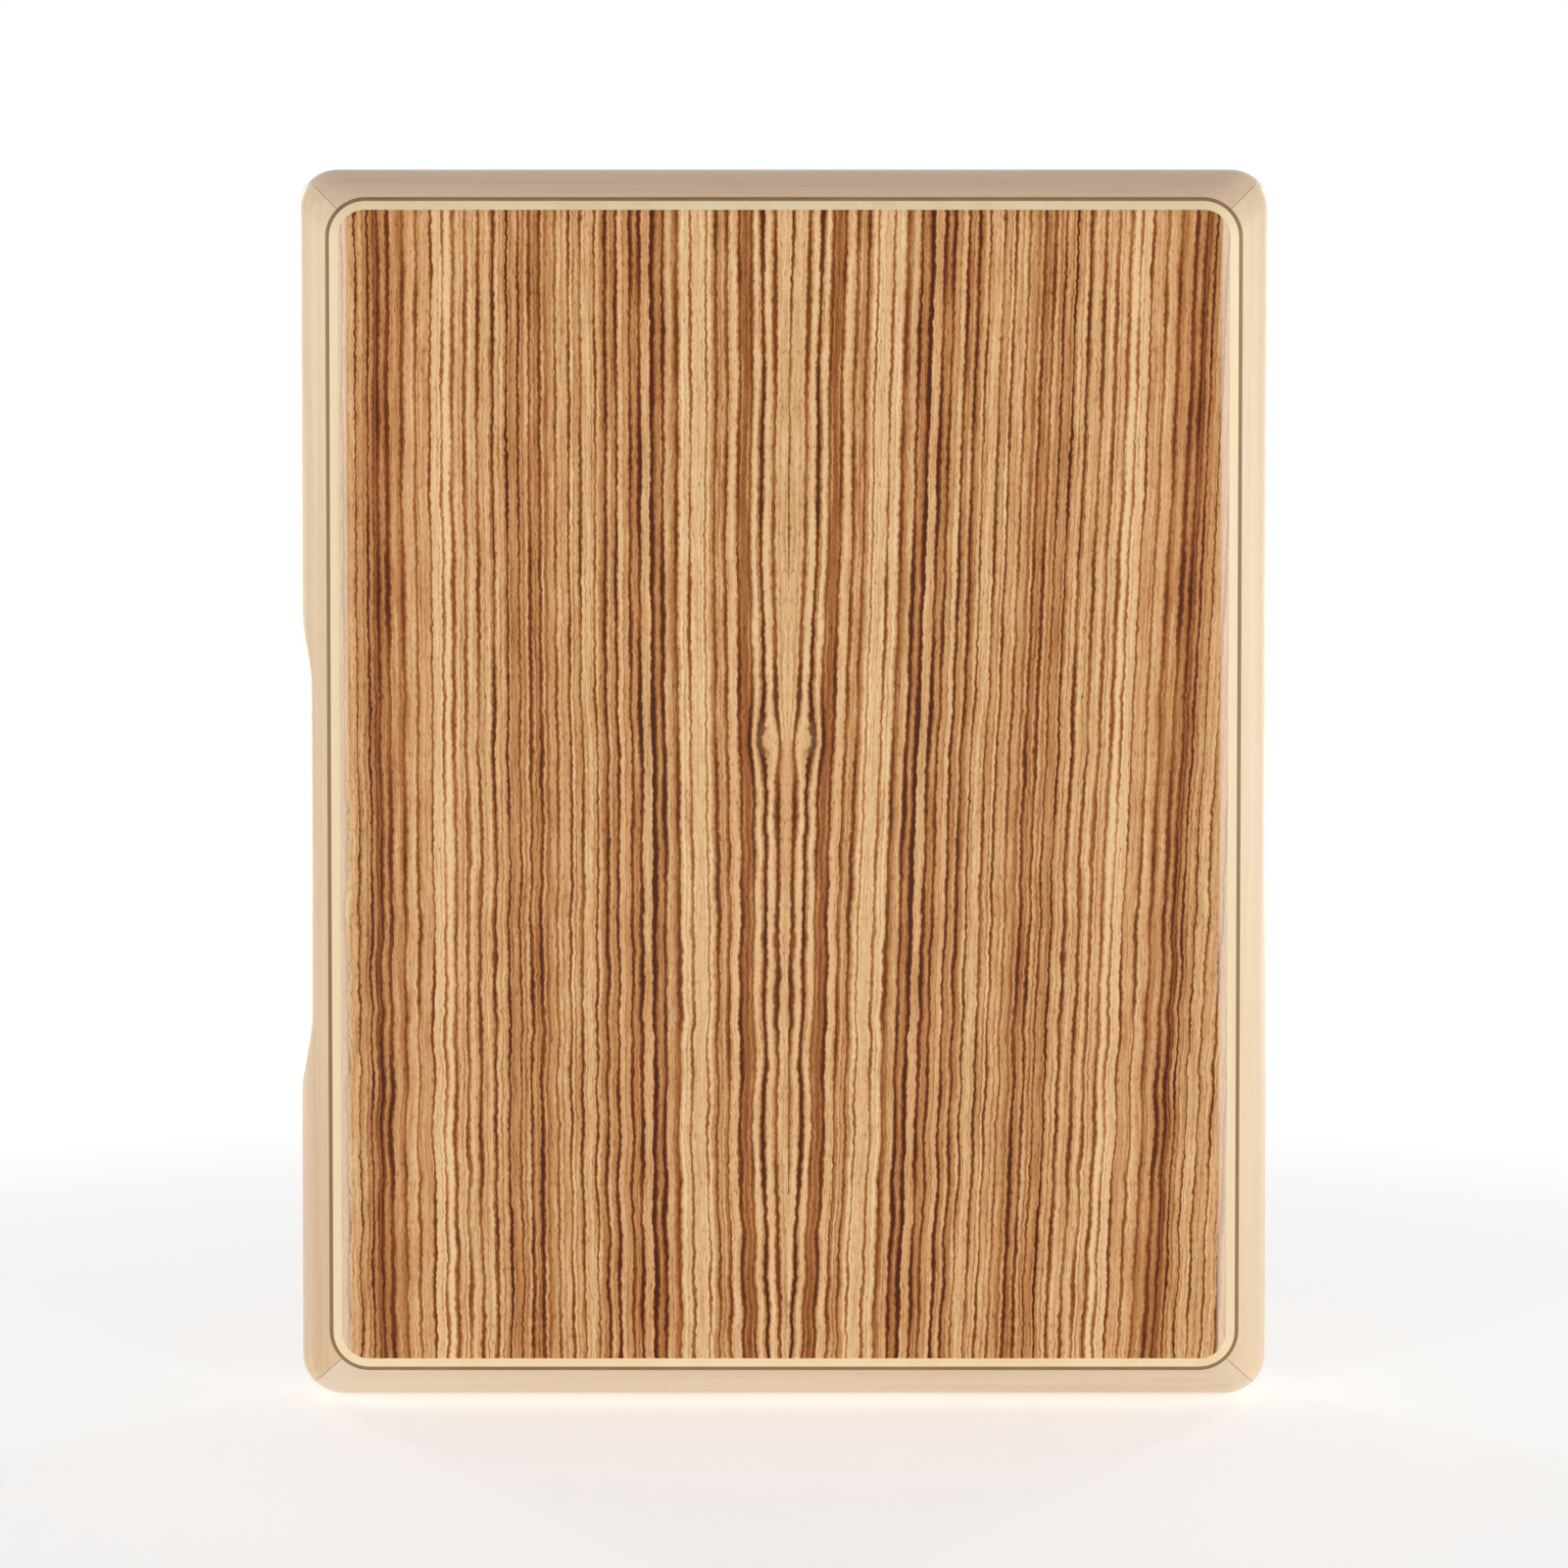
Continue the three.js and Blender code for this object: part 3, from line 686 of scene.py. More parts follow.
def paint_shade_inside(wiring, place, colour):
    """Paints shade nearly black on the walls of the drum's inside, a hair beyond the inner walls and the
    plates.
    """
    parts = wiring.parts(place)
    depth = wiring.maths("ABSOLUTE", wiring.less(parts["Y"], middle_y))
    sideways = wiring.maths("ABSOLUTE", parts["X"])
    upwards = wiring.maths("ABSOLUTE", parts["Z"])
    within = wiring.maths("LESS_THAN", sideways, inner_x + painted_shade_margin)
    for distance, wall in ((upwards, inner_z), (depth, core_level)):
        inside_wall = wiring.maths("LESS_THAN", distance, wall + painted_shade_margin)
        within = wiring.times(within, inside_wall)
    return wiring.blend(within, colour, tarnish_and_painted_shade)


def timber(
    name, seed, light, dark, figure=1.0, lies_along_x=False, shaded_inside=True, dullness=0.4, relief=0.02
):
    """A wood or fibre in two tones. Figure is how strong its grain is, and relief is in millimetres. Shaded
    inside adds painted shade on the drum's inside walls.
    """
    material, wiring, shader, place = new_material(name)
    turned = place
    if lies_along_x:
        turned = wiring.node("ShaderNodeMapping", {"Vector": place}).outputs[0]
        turned.node.inputs["Rotation"].default_value = (0, math.radians(-90), 0)
    inputs = {"Vector": turned, "Seed": seed, "Light": light, "Dark": dark, "Figure": figure}
    wood = wiring.group(pale_timber, inputs)
    colour = paint_shade_inside(wiring, place, wood["Colour"]) if shaded_inside else wood["Colour"]
    lacquered(wiring, shader, place, colour, wood["Height"], dullness, relief * MM)
    return material


rail_woods = {
    "top_rail": timber(
        "top rail maple", 1.3, paint(240, 212, 184), paint(214, 178, 146), 0.9, lies_along_x=True
    ),
    "bottom_rail": timber(
        "bottom rail maple", 5.1, paint(240, 222, 198), paint(220, 192, 162), 0.8, lies_along_x=True
    ),
    "port_side_rail": timber("port side maple", 9.7, paint(247, 222, 188), paint(218, 183, 142)),
    "plain_side_rail": timber(
        "plain side maple", 14.2, paint(248, 224, 192), paint(228, 196, 158), 0.8
    ),
}
ply_wood = timber(
    "plywood edge", 21.0, paint(255, 236, 198), paint(242, 212, 166), 0.8, dullness=0.42
)
block_wood = timber(
    "sawn glue block", 33.0, paint(226, 196, 152), paint(196, 158, 112), shaded_inside=False,
    dullness=0.7, relief=0.08,
)
fibre_wood = timber(
    "dark fibre", 40.0, paint(160, 128, 90), paint(134, 104, 70), 0.8, dullness=0.5
)
print("pale woods:", sorted(rail_woods))

# %% [markdown]
# ## Metal for the snare gear
#
# Inside are nickel-plated steel plates and screws and brass threaded inserts. Brushing runs along
# the metal as fine scratches, which a stretched noise gives to the roughness and the height.

# %% Metals
def build_brushed_metal():
    tree, wiring, given, result = new_group(
        "brushed metal",
        {"Vector": "vector", "Colour": "colour", "Dullness": "number"},
        {"Colour": "colour", "Roughness": "number", "Height": "number"},
    )
    stretch = wiring.node("ShaderNodeMapping", {"Vector": given["Vector"]})
    stretch.inputs["Scale"].default_value = (90, 2600, 2600)
    scratches = wiring.noise(stretch.outputs[0], detail=3)
    tarnish_and_painted_shade = wiring.fade(wiring.noise(given["Vector"], scale=160, detail=3), 0.35, 0.75)
    tarnished = wiring.blend(wiring.times(tarnish_and_painted_shade, 0.25), given["Colour"], paint(120, 104, 84))
    wiring.feed(result["Colour"], tarnished)
    rough = wiring.add(wiring.times(scratches, 0.16), wiring.times(tarnish_and_painted_shade, 0.1))
    wiring.feed(result["Roughness"], wiring.add(given["Dullness"], rough))
    wiring.feed(result["Height"], scratches)
    return tree


brushed_metal = build_brushed_metal()


def metal(name, colour, dullness, winding=0.0):
    """A brushed metal. A winding is the pitch in metres of fine wire wound round the piece along Z."""
    material, wiring, shader, place = new_material(name)
    surface = wiring.group(brushed_metal, {"Vector": place, "Colour": colour, "Dullness": dullness})
    height = surface["Height"]
    if winding:
        turns = wiring.times(wiring.parts(place)["Z"], math.tau / winding)
        height = wiring.add(height, wiring.times(wiring.maths("SINE", turns), 3.0))
    bump = wiring.node("ShaderNodeBump", {"Height": height, "Distance": 0.01 * MM})
    wiring.feed(shader.inputs["Base Color"], surface["Colour"])
    wiring.feed(shader.inputs["Roughness"], surface["Roughness"])
    wiring.feed(shader.inputs["Normal"], bump.outputs[0])
    shader.inputs["Metallic"].default_value = 1.0
    return material


steel = metal("nickelled steel", paint(196, 194, 188), 0.2)
string_steel = metal("wound string", paint(188, 184, 174), 0.24, 0.16 * MM)
brass = metal("turned brass", paint(212, 172, 96), 0.22)
print("metals: steel and brass")

# %% [markdown]
# ## Shape the crowned frame
#
# On a real drum the four rails are glued at their mitres first and the crown is routed round the
# whole frame. The mesh is made in the same order. A rounded outline is extruded forwards, row by
# row, while it follows the circle of the crown; then it steps in over the seat, runs back along
# the inner wall and is bridged to its own start. Bevelled corner points give the outline its round
# corners.

# %% Outlines and rows
def limit(value, most):
    return max(-most, min(most, value))


def crown_inset(level):
    """How far the crown has drawn in at a level."""
    return crown_radius - math.sqrt(crown_radius ** 2 - level ** 2)


corner_radius = 10 * MM
corner_steps = 12


def rounded_outline(bm, half_x, half_z, radius, y):
    """A loop of edges in the XZ plane: a rectangle whose corner points are bevelled round."""
    made = bmesh.ops.create_grid(bm, x_segments=1, y_segments=1, size=1.0)["verts"]
    for vertex in made:
        vertex.co = Vector((vertex.co.x * half_x, y, vertex.co.y * half_z))
    bmesh.ops.bevel(
        bm, geom=made, offset=radius, segments=corner_steps, profile=0.5, affect="VERTICES",
        material=-1,
    )
    bmesh.ops.delete(bm, geom=bm.faces[:], context="FACES_ONLY")
    return bm.edges[:]


def split_sides(bm, loop, side_cuts):
    """Cuts the straight sides of an outline. Side cuts names the cuts of the -X, +X and level sides."""
    for side, cuts in side_cuts.items():
        longest = [edge for edge in loop if edge.calc_length() > corner_radius]
        picked = [edge for edge in longest if side_of(edge) == side]
        bmesh.ops.subdivide_edges(bm, edges=picked, cuts=cuts)
        loop = [edge for edge in bm.edges if edge.is_wire]
    return loop


def side_of(edge):
    run = edge.verts[0].co - edge.verts[1].co
    if abs(run.x) > abs(run.z):
        return "level"
    return "minus_x" if edge.verts[0].co.x < 0 else "plus_x"


def extrude_row(bm, loop):
    """Extrudes a loop of edges once and gives the new loop and its vertices."""
    made = bmesh.ops.extrude_edge_only(bm, edges=loop)["geom"]
    edges = [item for item in made if isinstance(item, bmesh.types.BMEdge)]
    verts = [item for item in made if isinstance(item, bmesh.types.BMVert)]
    return edges, verts


still_share = 0.7


def end_share(value, straight):
    """Zero over the still middle of a side, rising to 1 or -1 at its end and round the corner."""
    share = limit(value / straight, 1)
    return math.copysign(max(abs(share) - still_share, 0) / (1 - still_share), share)


def draw_in(verts, step, straight_x, straight_z):
    """Moves a row inwards. The ends of the straight sides shorten and the corners keep their radius."""
    for vertex in verts:
        vertex.co.x -= step * end_share(vertex.co.x, straight_x)
        vertex.co.z -= step * end_share(vertex.co.z, straight_z)


def shrink_corners(verts, step, straight_x, straight_z, radius):
    """Moves a row inwards as a true offset, so the corner radius shrinks by the step."""
    for vertex in verts:
        core = Vector((limit(vertex.co.x, straight_x), vertex.co.y, limit(vertex.co.z, straight_z)))
        vertex.co = core + (vertex.co - core) * (1 - step / radius)


def finish_mesh(bm, name, material, crease=28):
    """Turns a bmesh into an object at the origin, smooth except at creases sharper than the angle."""
    bmesh.ops.remove_doubles(bm, verts=bm.verts[:], dist=0.002 * MM)
    bmesh.ops.dissolve_degenerate(bm, edges=bm.edges[:], dist=0.001 * MM)
    bmesh.ops.recalc_face_normals(bm, faces=bm.faces[:])
    mesh = bpy.data.meshes.new(name)
    bm.to_mesh(mesh)
    bm.free()
    mesh.shade_smooth()
    mesh.set_sharp_from_angle(angle=math.radians(crease))
    piece = bpy.data.objects.new(name, mesh)
    bpy.context.scene.collection.objects.link(piece)
    mesh.materials.append(material)
    return piece


def fit(piece, nodes, body="root"):
    """Lets a finished piece stand for its solids and ride on a body."""
    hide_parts(*nodes)
    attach(piece, body)
    return piece


print("corner radius", round(corner_radius / MM, 2), "mm in", corner_steps, "steps")

# %% [markdown]
# ## Run the outline round the crown
#
# The rows lie at even steps of angle, so the crown is equally fine everywhere. As a row is drawn
# in, its points slide along a side only near the ends. In the middle of a side they stay in line
# from row to row, which leaves straight columns of faces where the sound port is cut.

# %% The frame as one ring
crown_rows = 44
port_side_cuts = 190
side_cuts = {"minus_x": port_side_cuts, "plus_x": 24, "level": 24}


def crown_level(row):
    """The level of a row, at even steps of angle round the crown."""
    reach = math.asin(seat_level / crown_radius)
    return crown_radius * math.sin(reach * (2 * row / crown_rows - 1))


def crowned_ring(inner_levels):
    """The frame before it is cut into rails."""
    bm = bmesh.new()
    inset = crown_inset(seat_level)
    half_x = half_width - inset
    half_z = half_height - inset
    first = rounded_outline(bm, half_x, half_z, corner_radius, middle_y + seat_level)
    first = split_sides(bm, first, side_cuts)
    loop = first
    for row in range(1, crown_rows + 1):
        level = crown_level(row)
        loop, verts = extrude_row(bm, loop)
        step = crown_inset(level) - inset
        draw_in(verts, step, half_width - inset - corner_radius, half_height - inset - corner_radius)
        inset = crown_inset(level)
        for vertex in verts:
            vertex.co.y = middle_y - level
    for level in [seat_level, *reversed(inner_levels), -seat_level]:
        loop, verts = extrude_row(bm, loop)
        for vertex in verts:
            vertex.co = Vector((limit(vertex.co.x, inner_x), middle_y - level, limit(vertex.co.z, inner_z)))
    bmesh.ops.bridge_loops(bm, edges=first + loop)
    return bm


print("crown:", crown_rows, "rows;", port_side_cuts, "cuts along the port side")

# %% [markdown]
# ## The landing and the sound port
#
# One side rail has the sound port: a slot with round ends, cut through the rail, that also serves
# as a handle. Round it the crown is planed to a shallow landing that fades out above and below.
# The landing is the larger of the crown's own inset and the planed depth, with a soft maximum so
# that no edge shows. For the slot a gap is opened in both walls. The edge of the outer gap is
# extruded row by row, and each point moves to its nearest place on the slot's outline, so no point
# can pass another. The rows go over a routed edge to the inner wall and are bridged to its gap.

# %% Sizes of the landing and the port
port_width = 15 * MM
port_length = 111 * MM
port_z = -19 * MM
port_level = 1.2 * MM
port_rounding = 1.2 * MM
landing_depth = 3.5 * MM
landing_top = 24.5 * MM
landing_foot = -56.5 * MM
landing_ramp = 24 * MM
landing_softness = 2.2 * MM


def landing_cut(z):
    """The planed depth at a height: full along the flat, fading out over the ramps."""
    beyond = max(z - landing_top, landing_foot - z, 0)
    if beyond >= landing_ramp:
        return 0.0
    return landing_depth * (1 + math.cos(math.pi * beyond / landing_ramp)) / 2


def port_side_x(y, z):
    """The port side's outer face: the crown or the landing, whichever lies deeper, softly joined."""
    crown = crown_inset(middle_y - y)
    cut = landing_cut(z)
    softness = landing_softness * cut / landing_depth
    deeper = max(crown, cut)
    if softness > 0:
        closeness = max(softness - abs(crown - cut), 0) / softness
        deeper += closeness ** 2 * softness / 4
    return deeper - half_width


port_middle_y = middle_y - port_level
gap_margin = 3.4 * MM
gap_half_y = port_width / 2 + gap_margin
gap_half_z = port_length / 2 + gap_margin
gap_levels = [crown_level(row) for row in range(crown_rows + 1)]
gap_levels = [level for level in gap_levels if abs(level - port_level) < gap_half_y]
ring = crowned_ring(gap_levels)
print("frame ring:", len(ring.faces), "faces;", len(gap_levels), "rows cross the port's gap")

# %% [markdown]
# ## Cut the slot
#
# First the landing is planed: the outer face of the port side moves to its new depth. Then the
# gap is opened and closed again with rows of points. A few rows lead from the square gap to the
# round slot, and the next ones turn a quarter circle into the rail. A small arris finishes the
# slot at the inner wall.

# %% Cut the gap and build the slot
def plane_the_landing(bm):
    for vertex in bm.verts:
        outside = vertex.co.x < -inner_x - 1 * MM
        beside_corner = abs(vertex.co.z) < half_height - seat_inset - corner_radius
        if outside and beside_corner and abs(vertex.co.y - middle_y) < seat_level - 0.01 * MM:
            vertex.co.x = port_side_x(vertex.co.y, vertex.co.z)


def open_gap(bm):
    """Takes out the faces where the slot goes and gives the two loops of edges left round it."""
    def in_gap(vertex):
        near_y = abs(vertex.co.y - port_middle_y) < gap_half_y
        near_z = abs(vertex.co.z - port_z) < gap_half_z
        return vertex.co.x < -inner_x + 1 * MM and near_y and near_z

    faces = [face for face in bm.faces if all(in_gap(vertex) for vertex in face.verts)]
    bmesh.ops.delete(bm, geom=faces, context="FACES")
    edges = [edge for edge in bm.edges if edge.is_boundary]
    wall = -(inner_x + 0.5 * MM)
    outer = [edge for edge in edges if edge.verts[0].co.x < wall]
    inner = [edge for edge in edges if edge.verts[0].co.x >= wall]
    return outer, inner


def slot_place(point, beyond):
    """The Y and Z of the nearest point on the slot's outline, or on one that lies beyond it."""
    middle_z = port_z + limit(point.z - port_z, (port_length - port_width) / 2)
    away = Vector((0, point.y - port_middle_y, point.z - middle_z)).normalized()
    reach = port_width / 2 + beyond
    return port_middle_y + away.y * reach, middle_z + away.z * reach


def slot_row(bm, loop, beyond, x_at):
    """Extrudes the edge of the slot and moves it to an outline. X_at gives the depth of a point."""
    loop, verts = extrude_row(bm, loop)
    for vertex in verts:
        y, z = slot_place(vertex.co, beyond)
        vertex.co = Vector((x_at(y, z), y, z))
    return loop


approach_rows = 3
rounding_rows = 5


def build_slot(bm):
    """Runs from the gap in the outer face over a rounded edge to the gap in the inner wall."""
    loop, inner = open_gap(bm)
    first = port_rounding * 1.25
    for remaining in range(approach_rows, 0, -1):
        loop, verts = extrude_row(bm, loop)
        for vertex in verts:
            y, z = slot_place(vertex.co, first)
            y = vertex.co.y + (y - vertex.co.y) / remaining
            z = vertex.co.z + (z - vertex.co.z) / remaining
            vertex.co = Vector((port_side_x(y, z), y, z))
    for row in range(rounding_rows + 1):
        angle = math.radians(90) * row / rounding_rows
        depth = port_rounding * (1 - math.cos(angle))
        beyond = port_rounding * (1 - math.sin(angle))
        loop = slot_row(bm, loop, beyond, lambda y, z: port_side_x(y, z) + depth)
    arris = 0.4 * MM
    loop = slot_row(bm, loop, 0.0, lambda y, z: -inner_x - arris)
    loop = slot_row(bm, loop, arris, lambda y, z: -inner_x)
    bmesh.ops.bridge_loops(bm, edges=loop + inner)
    return len(inner)


plane_the_landing(ring)
print("the slot's edge has", build_slot(ring), "points")

# %% [markdown]
# ## Saw the mitres
#
# Each rail is a copy of the ring, cut by two planes at 45 degrees through the corners. The cut
# ends are capped, and a hair of room is left between neighbours, which reads as the fine dark
# line of a glued mitre.

# %% The four rails
mitre_room = 0.05 * MM


def saw_rail(name, planes):
    bm = ring.copy()
    for point, normal in planes:
        geometry = bm.verts[:] + bm.edges[:] + bm.faces[:]
        bmesh.ops.bisect_plane(
            bm, geom=geometry, dist=1e-7, plane_co=point, plane_no=normal, clear_outer=True
        )
    bmesh.ops.holes_fill(bm, edges=[edge for edge in bm.edges if edge.is_boundary], sides=0)
    piece = finish_mesh(bm, f"crowned_{name}", rail_woods[name])
    fit(piece, [name])
    print(piece.name, len(piece.data.polygons), "faces")


def corner_plane(side_x, side_z, normal_x, normal_z):
    """A mitre plane through one corner, moved back by the room between the rails."""
    normal = Vector((normal_x, 0, normal_z)).normalized()
    return Vector((side_x * half_width, middle_y, side_z * half_height)) - normal * mitre_room, normal


saw_rail("top_rail", [corner_plane(-1, 1, -1, -1), corner_plane(1, 1, 1, -1)])
saw_rail("bottom_rail", [corner_plane(-1, -1, -1, 1), corner_plane(1, -1, 1, 1)])
saw_rail("port_side_rail", [corner_plane(-1, 1, 1, 1), corner_plane(-1, -1, 1, -1)])
saw_rail("plain_side_rail", [corner_plane(1, 1, -1, 1), corner_plane(1, -1, -1, -1)])
ring.free()

# %% [markdown]
# ## Purfling, plywood and veneer
#
# Each face is a stack that is flush with the crown: a dark fibre sheet as a ring, pale plywood,
# and the two veneer leaves. From the seat outwards the crown keeps its circle, while the corner
# gets tighter as it does when sanded. The outer edge of the veneer is rounded over softly, and
# that small roll is what catches the light along the sides of the face.

# %% Rows of a flush stack
straight_x = half_width - seat_inset - corner_radius
straight_z = half_height - seat_inset - corner_radius


def flush_rows(bm, rows, side):
    """Extrudes an outline through rows of level and inset. Side is 1 for the front, -1 for the back."""
    level, inset = rows[0]
    radius = corner_radius - (inset - seat_inset)
    half_x = straight_x + radius
    half_z = straight_z + radius
    outline = rounded_outline(bm, half_x, half_z, radius, middle_y - side * level)
    first = split_sides(bm, outline, {"minus_x": 6, "plus_x": 6, "level": 6})
    loop = first
    for level, next_inset in rows[1:]:
        loop, verts = extrude_row(bm, loop)
        shrink_corners(verts, next_inset - inset, straight_x, straight_z, radius)
        radius -= next_inset - inset
        inset = next_inset
        for vertex in verts:
            vertex.co.y = middle_y - side * level
    return first, loop


def crown_rows_between(start, end, count):
    steps = [start + (end - start) * index / count for index in range(count + 1)]
    return [(level, crown_inset(level)) for level in steps]


def make_purfling(name, side):
    bm = bmesh.new()
    first, loop = flush_rows(bm, crown_rows_between(seat_level, core_level, 2), side)
    for level in (core_level, seat_level):
        loop, verts = extrude_row(bm, loop)
        for vertex in verts:
            vertex.co = Vector((
                limit(vertex.co.x, inner_x), middle_y - side * level, limit(vertex.co.z, inner_z)
            ))
    bmesh.ops.bridge_loops(bm, edges=first + loop)
    return fit(finish_mesh(bm, f"{name}_ring", fibre_wood), [name])


def make_core(name, side):
    bm = bmesh.new()
    for loop in flush_rows(bm, crown_rows_between(core_level, veneer_level, 4), side):
        bmesh.ops.edgeloop_fill(bm, edges=loop)
    return fit(finish_mesh(bm, f"{name}_ply", ply_wood), [name])


roll_start = veneer_level + 0.12 * MM
roll_width = 2.8 * MM
roll_steps = 7


def veneer_rows():
    """Up the crown, then over a soft roll onto the flat: a curve pulled towards the arris."""
    start = Vector((roll_start, crown_inset(roll_start)))
    arris = Vector((face_level, crown_inset(face_level)))
    end = Vector((face_level, crown_inset(face_level) + roll_width))
    rows = [(veneer_level, crown_inset(veneer_level))]
    for step in range(roll_steps + 1):
        share = step / roll_steps
        point = start * (1 - share) ** 2 + arris * 2 * share * (1 - share) + end * share ** 2
        rows.append((point.x, point.y))
    return rows


def make_leaf(name, side, seam, keeps_plus_x, material):
    bm = bmesh.new()
    for loop in flush_rows(bm, veneer_rows(), side):
        bmesh.ops.edgeloop_fill(bm, edges=loop)
    bmesh.ops.bisect_plane(
        bm, geom=bm.verts[:] + bm.edges[:] + bm.faces[:], dist=1e-7, plane_co=(seam, 0, 0),
        plane_no=(-1, 0, 0) if keeps_plus_x else (1, 0, 0), clear_outer=True,
    )
    bmesh.ops.holes_fill(bm, edges=[edge for edge in bm.edges if edge.is_boundary], sides=0)
    return fit(finish_mesh(bm, f"{name}_leaf", material), [name])


print("a leaf of veneer has", len(veneer_rows()), "rows")

# %% [markdown]
# ## Lay up both faces
#
# The playing face and the back are the same stack, turned round. Each leaf starts as the whole
# outline and is cut at the seam, so the two leaves of a face meet without a gap.

# %% Both faces
for name, side in (("front_purfling", 1), ("back_purfling", -1)):
    make_purfling(name, side)
for name, side in (("tapa_core", 1), ("back_core", -1)):
    make_core(name, side)
make_leaf("tapa_veneer_left", 1, front_seam, False, tapa_left_wood)
make_leaf("tapa_veneer_right", 1, front_seam, True, tapa_right_wood)
make_leaf("back_veneer_left", -1, back_seam, False, back_left_wood)
make_leaf("back_veneer_right", -1, back_seam, True, back_right_wood)
print("faces: two purflings, two cores and four leaves")

# %% [markdown]
# ## Soften the blocks, plates and bars
#
# The solids inside have the right shape but knife-sharp edges. A softened copy stands for each: flat
# faces are joined, and every outer edge that is sharper than 50 degrees is bevelled. Planed blocks
# get a wider bevel than stamped steel. A Weighted Normal modifier keeps the flat faces flat in the
# light, because a large face then counts for more than the narrow bevel beside it.

# %% Softened copies of the solids inside
def softened(node, width, material, body="root"):
    bm = bmesh.new()
    bm.from_mesh(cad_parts[node].data)
    bmesh.ops.remove_doubles(bm, verts=bm.verts[:], dist=0.002 * MM)
    bmesh.ops.recalc_face_normals(bm, faces=bm.faces[:])
    bmesh.ops.dissolve_limit(bm, angle_limit=math.radians(1), verts=bm.verts[:], edges=bm.edges[:])
    outer = [edge for edge in bm.edges if edge.is_manifold]
    outer = [edge for edge in outer if edge.calc_face_angle_signed() > math.radians(50)]
    bmesh.ops.bevel(
        bm, geom=outer, offset=width, segments=2, profile=0.5, affect="EDGES",
        clamp_overlap=True, material=-1,
    )
    piece = finish_mesh(bm, f"{node}_softened", material, crease=40)
    piece.modifiers.new("normals of the large faces", "WEIGHTED_NORMAL").keep_sharp = True
    return fit(piece, [node], body)


sets = ("left", "right")
for end in ("top", "bottom"):
    for edge_side in ("port_side", "plain_side"):
        softened(f"corner_block_{end}_{edge_side}", 0.5 * MM, block_wood)
for name in sets:
    softened(f"{name}_anchor_block", 0.4 * MM, block_wood)
    softened(f"{name}_foot_block", 0.4 * MM, block_wood)
    softened(f"{name}_anchor_plate", 0.2 * MM, steel)
    softened(f"{name}_threaded_insert", 0.15 * MM, brass)
    softened(f"{name}_tension_bar", 0.3 * MM, steel, f"{name}_bar")
print("softened:", 4 + 5 * len(sets), "solids")

# %% [markdown]
# ## Cut the screws
#
# A screw thread is one tooth that is spun and lifted by the pitch with each turn, so the top of one
# turn meets the foot of the next. Two planes trim the ends, and a limit on the radius near the tip
# gives the chamfer of a machine screw or the point of a wood screw. The heads are spun as well. The
# tension screw's is knurled and has a hex socket, and the wood screw's has a cross recess.

# %% Threads and heads
def profile(bm, points):
    """A chain of edges from pairs of radius and height."""
    verts = [bm.verts.new((radius, 0, height)) for radius, height in points]
    return verts + [bm.edges.new(pair) for pair in zip(verts, verts[1:])]


thread_steps = 20


def threaded_shank(bm, length, root, crest, pitch, tip_radius, tip_slope):
    """A threaded shank that hangs down from the origin and ends inside the head above."""
    into_head = 0.5 * MM
    turns = math.ceil((length + into_head) / pitch) + 2
    foot = -length - pitch
    tooth = [(root, 0.0), (crest, 0.42), (crest, 0.58), (root, 1.0)]
    geometry = profile(bm, [(radius, foot + share * pitch) for radius, share in tooth])
    bmesh.ops.spin(
        bm, geom=geometry, cent=(0, 0, 0), axis=(0, 0, 1), dvec=(0, 0, pitch / thread_steps),
        angle=math.tau * turns, steps=thread_steps * turns,
    )
    bmesh.ops.remove_doubles(bm, verts=bm.verts[:], dist=0.005 * MM)
    for height, upwards in ((-length, -1), (into_head, 1)):
        bmesh.ops.bisect_plane(
            bm, geom=bm.verts[:] + bm.edges[:] + bm.faces[:], dist=1e-8,
            plane_co=(0, 0, height), plane_no=(0, 0, upwards), clear_outer=True,
        )
    bmesh.ops.holes_fill(bm, edges=[edge for edge in bm.edges if edge.is_boundary], sides=0)
    for vertex in bm.verts:
        radius = math.hypot(vertex.co.x, vertex.co.y)
        most = tip_radius + (vertex.co.z + length) * tip_slope
        if radius > most:
            vertex.co.x *= most / radius
            vertex.co.y *= most / radius


def spun_head(bm, points, steps):
    """A head on the origin. Gives its new vertices."""
    before = set(bm.verts)
    geometry = profile(bm, points)
    bmesh.ops.spin(
        bm, geom=geometry, cent=(0, 0, 0), axis=(0, 0, 1), angle=math.tau, steps=steps, use_merge=True
    )
    bmesh.ops.remove_doubles(bm, verts=[vert for vert in bm.verts if vert not in before], dist=0.005 * MM)
    return [vert for vert in bm.verts if vert not in before]


knurl_valley_share = 0.955


def knurl_and_socket(verts, head_radius, head_height, flats):
    """Ridges on the side of a cap screw's head and a hex socket in its top."""
    for vertex in verts:
        radius = math.hypot(vertex.co.x, vertex.co.y)
        turn = math.degrees(math.atan2(vertex.co.y, vertex.co.x))
        share = 1.0
        if radius > head_radius * 0.99 and 0.1 < vertex.co.z / head_height < 0.9:
            share = 1.0 if round(turn / 5) % 2 else knurl_valley_share
        if 0.1 * flats < radius < flats * 0.56 and vertex.co.z > head_height * 0.4:
            share = 1 / math.cos(math.radians((turn + 30) % 60 - 30))
        vertex.co.x *= share
        vertex.co.y *= share


def cross_recess(bm, verts, reach, depth):
    """Pushes the faces of a cross down into a flat head top."""
    top = max(vertex.co.z for vertex in verts)
    faces = {face for vertex in verts for face in vertex.link_faces}
    arms = [face for face in faces if is_arm(face, reach, top)]
    made = bmesh.ops.extrude_face_region(bm, geom=arms)["geom"]
    bmesh.ops.delete(bm, geom=arms, context="FACES")
    for vertex in made:
        if isinstance(vertex, bmesh.types.BMVert):
            vertex.co = Vector((vertex.co.x * 0.7, vertex.co.y * 0.7, vertex.co.z - depth))


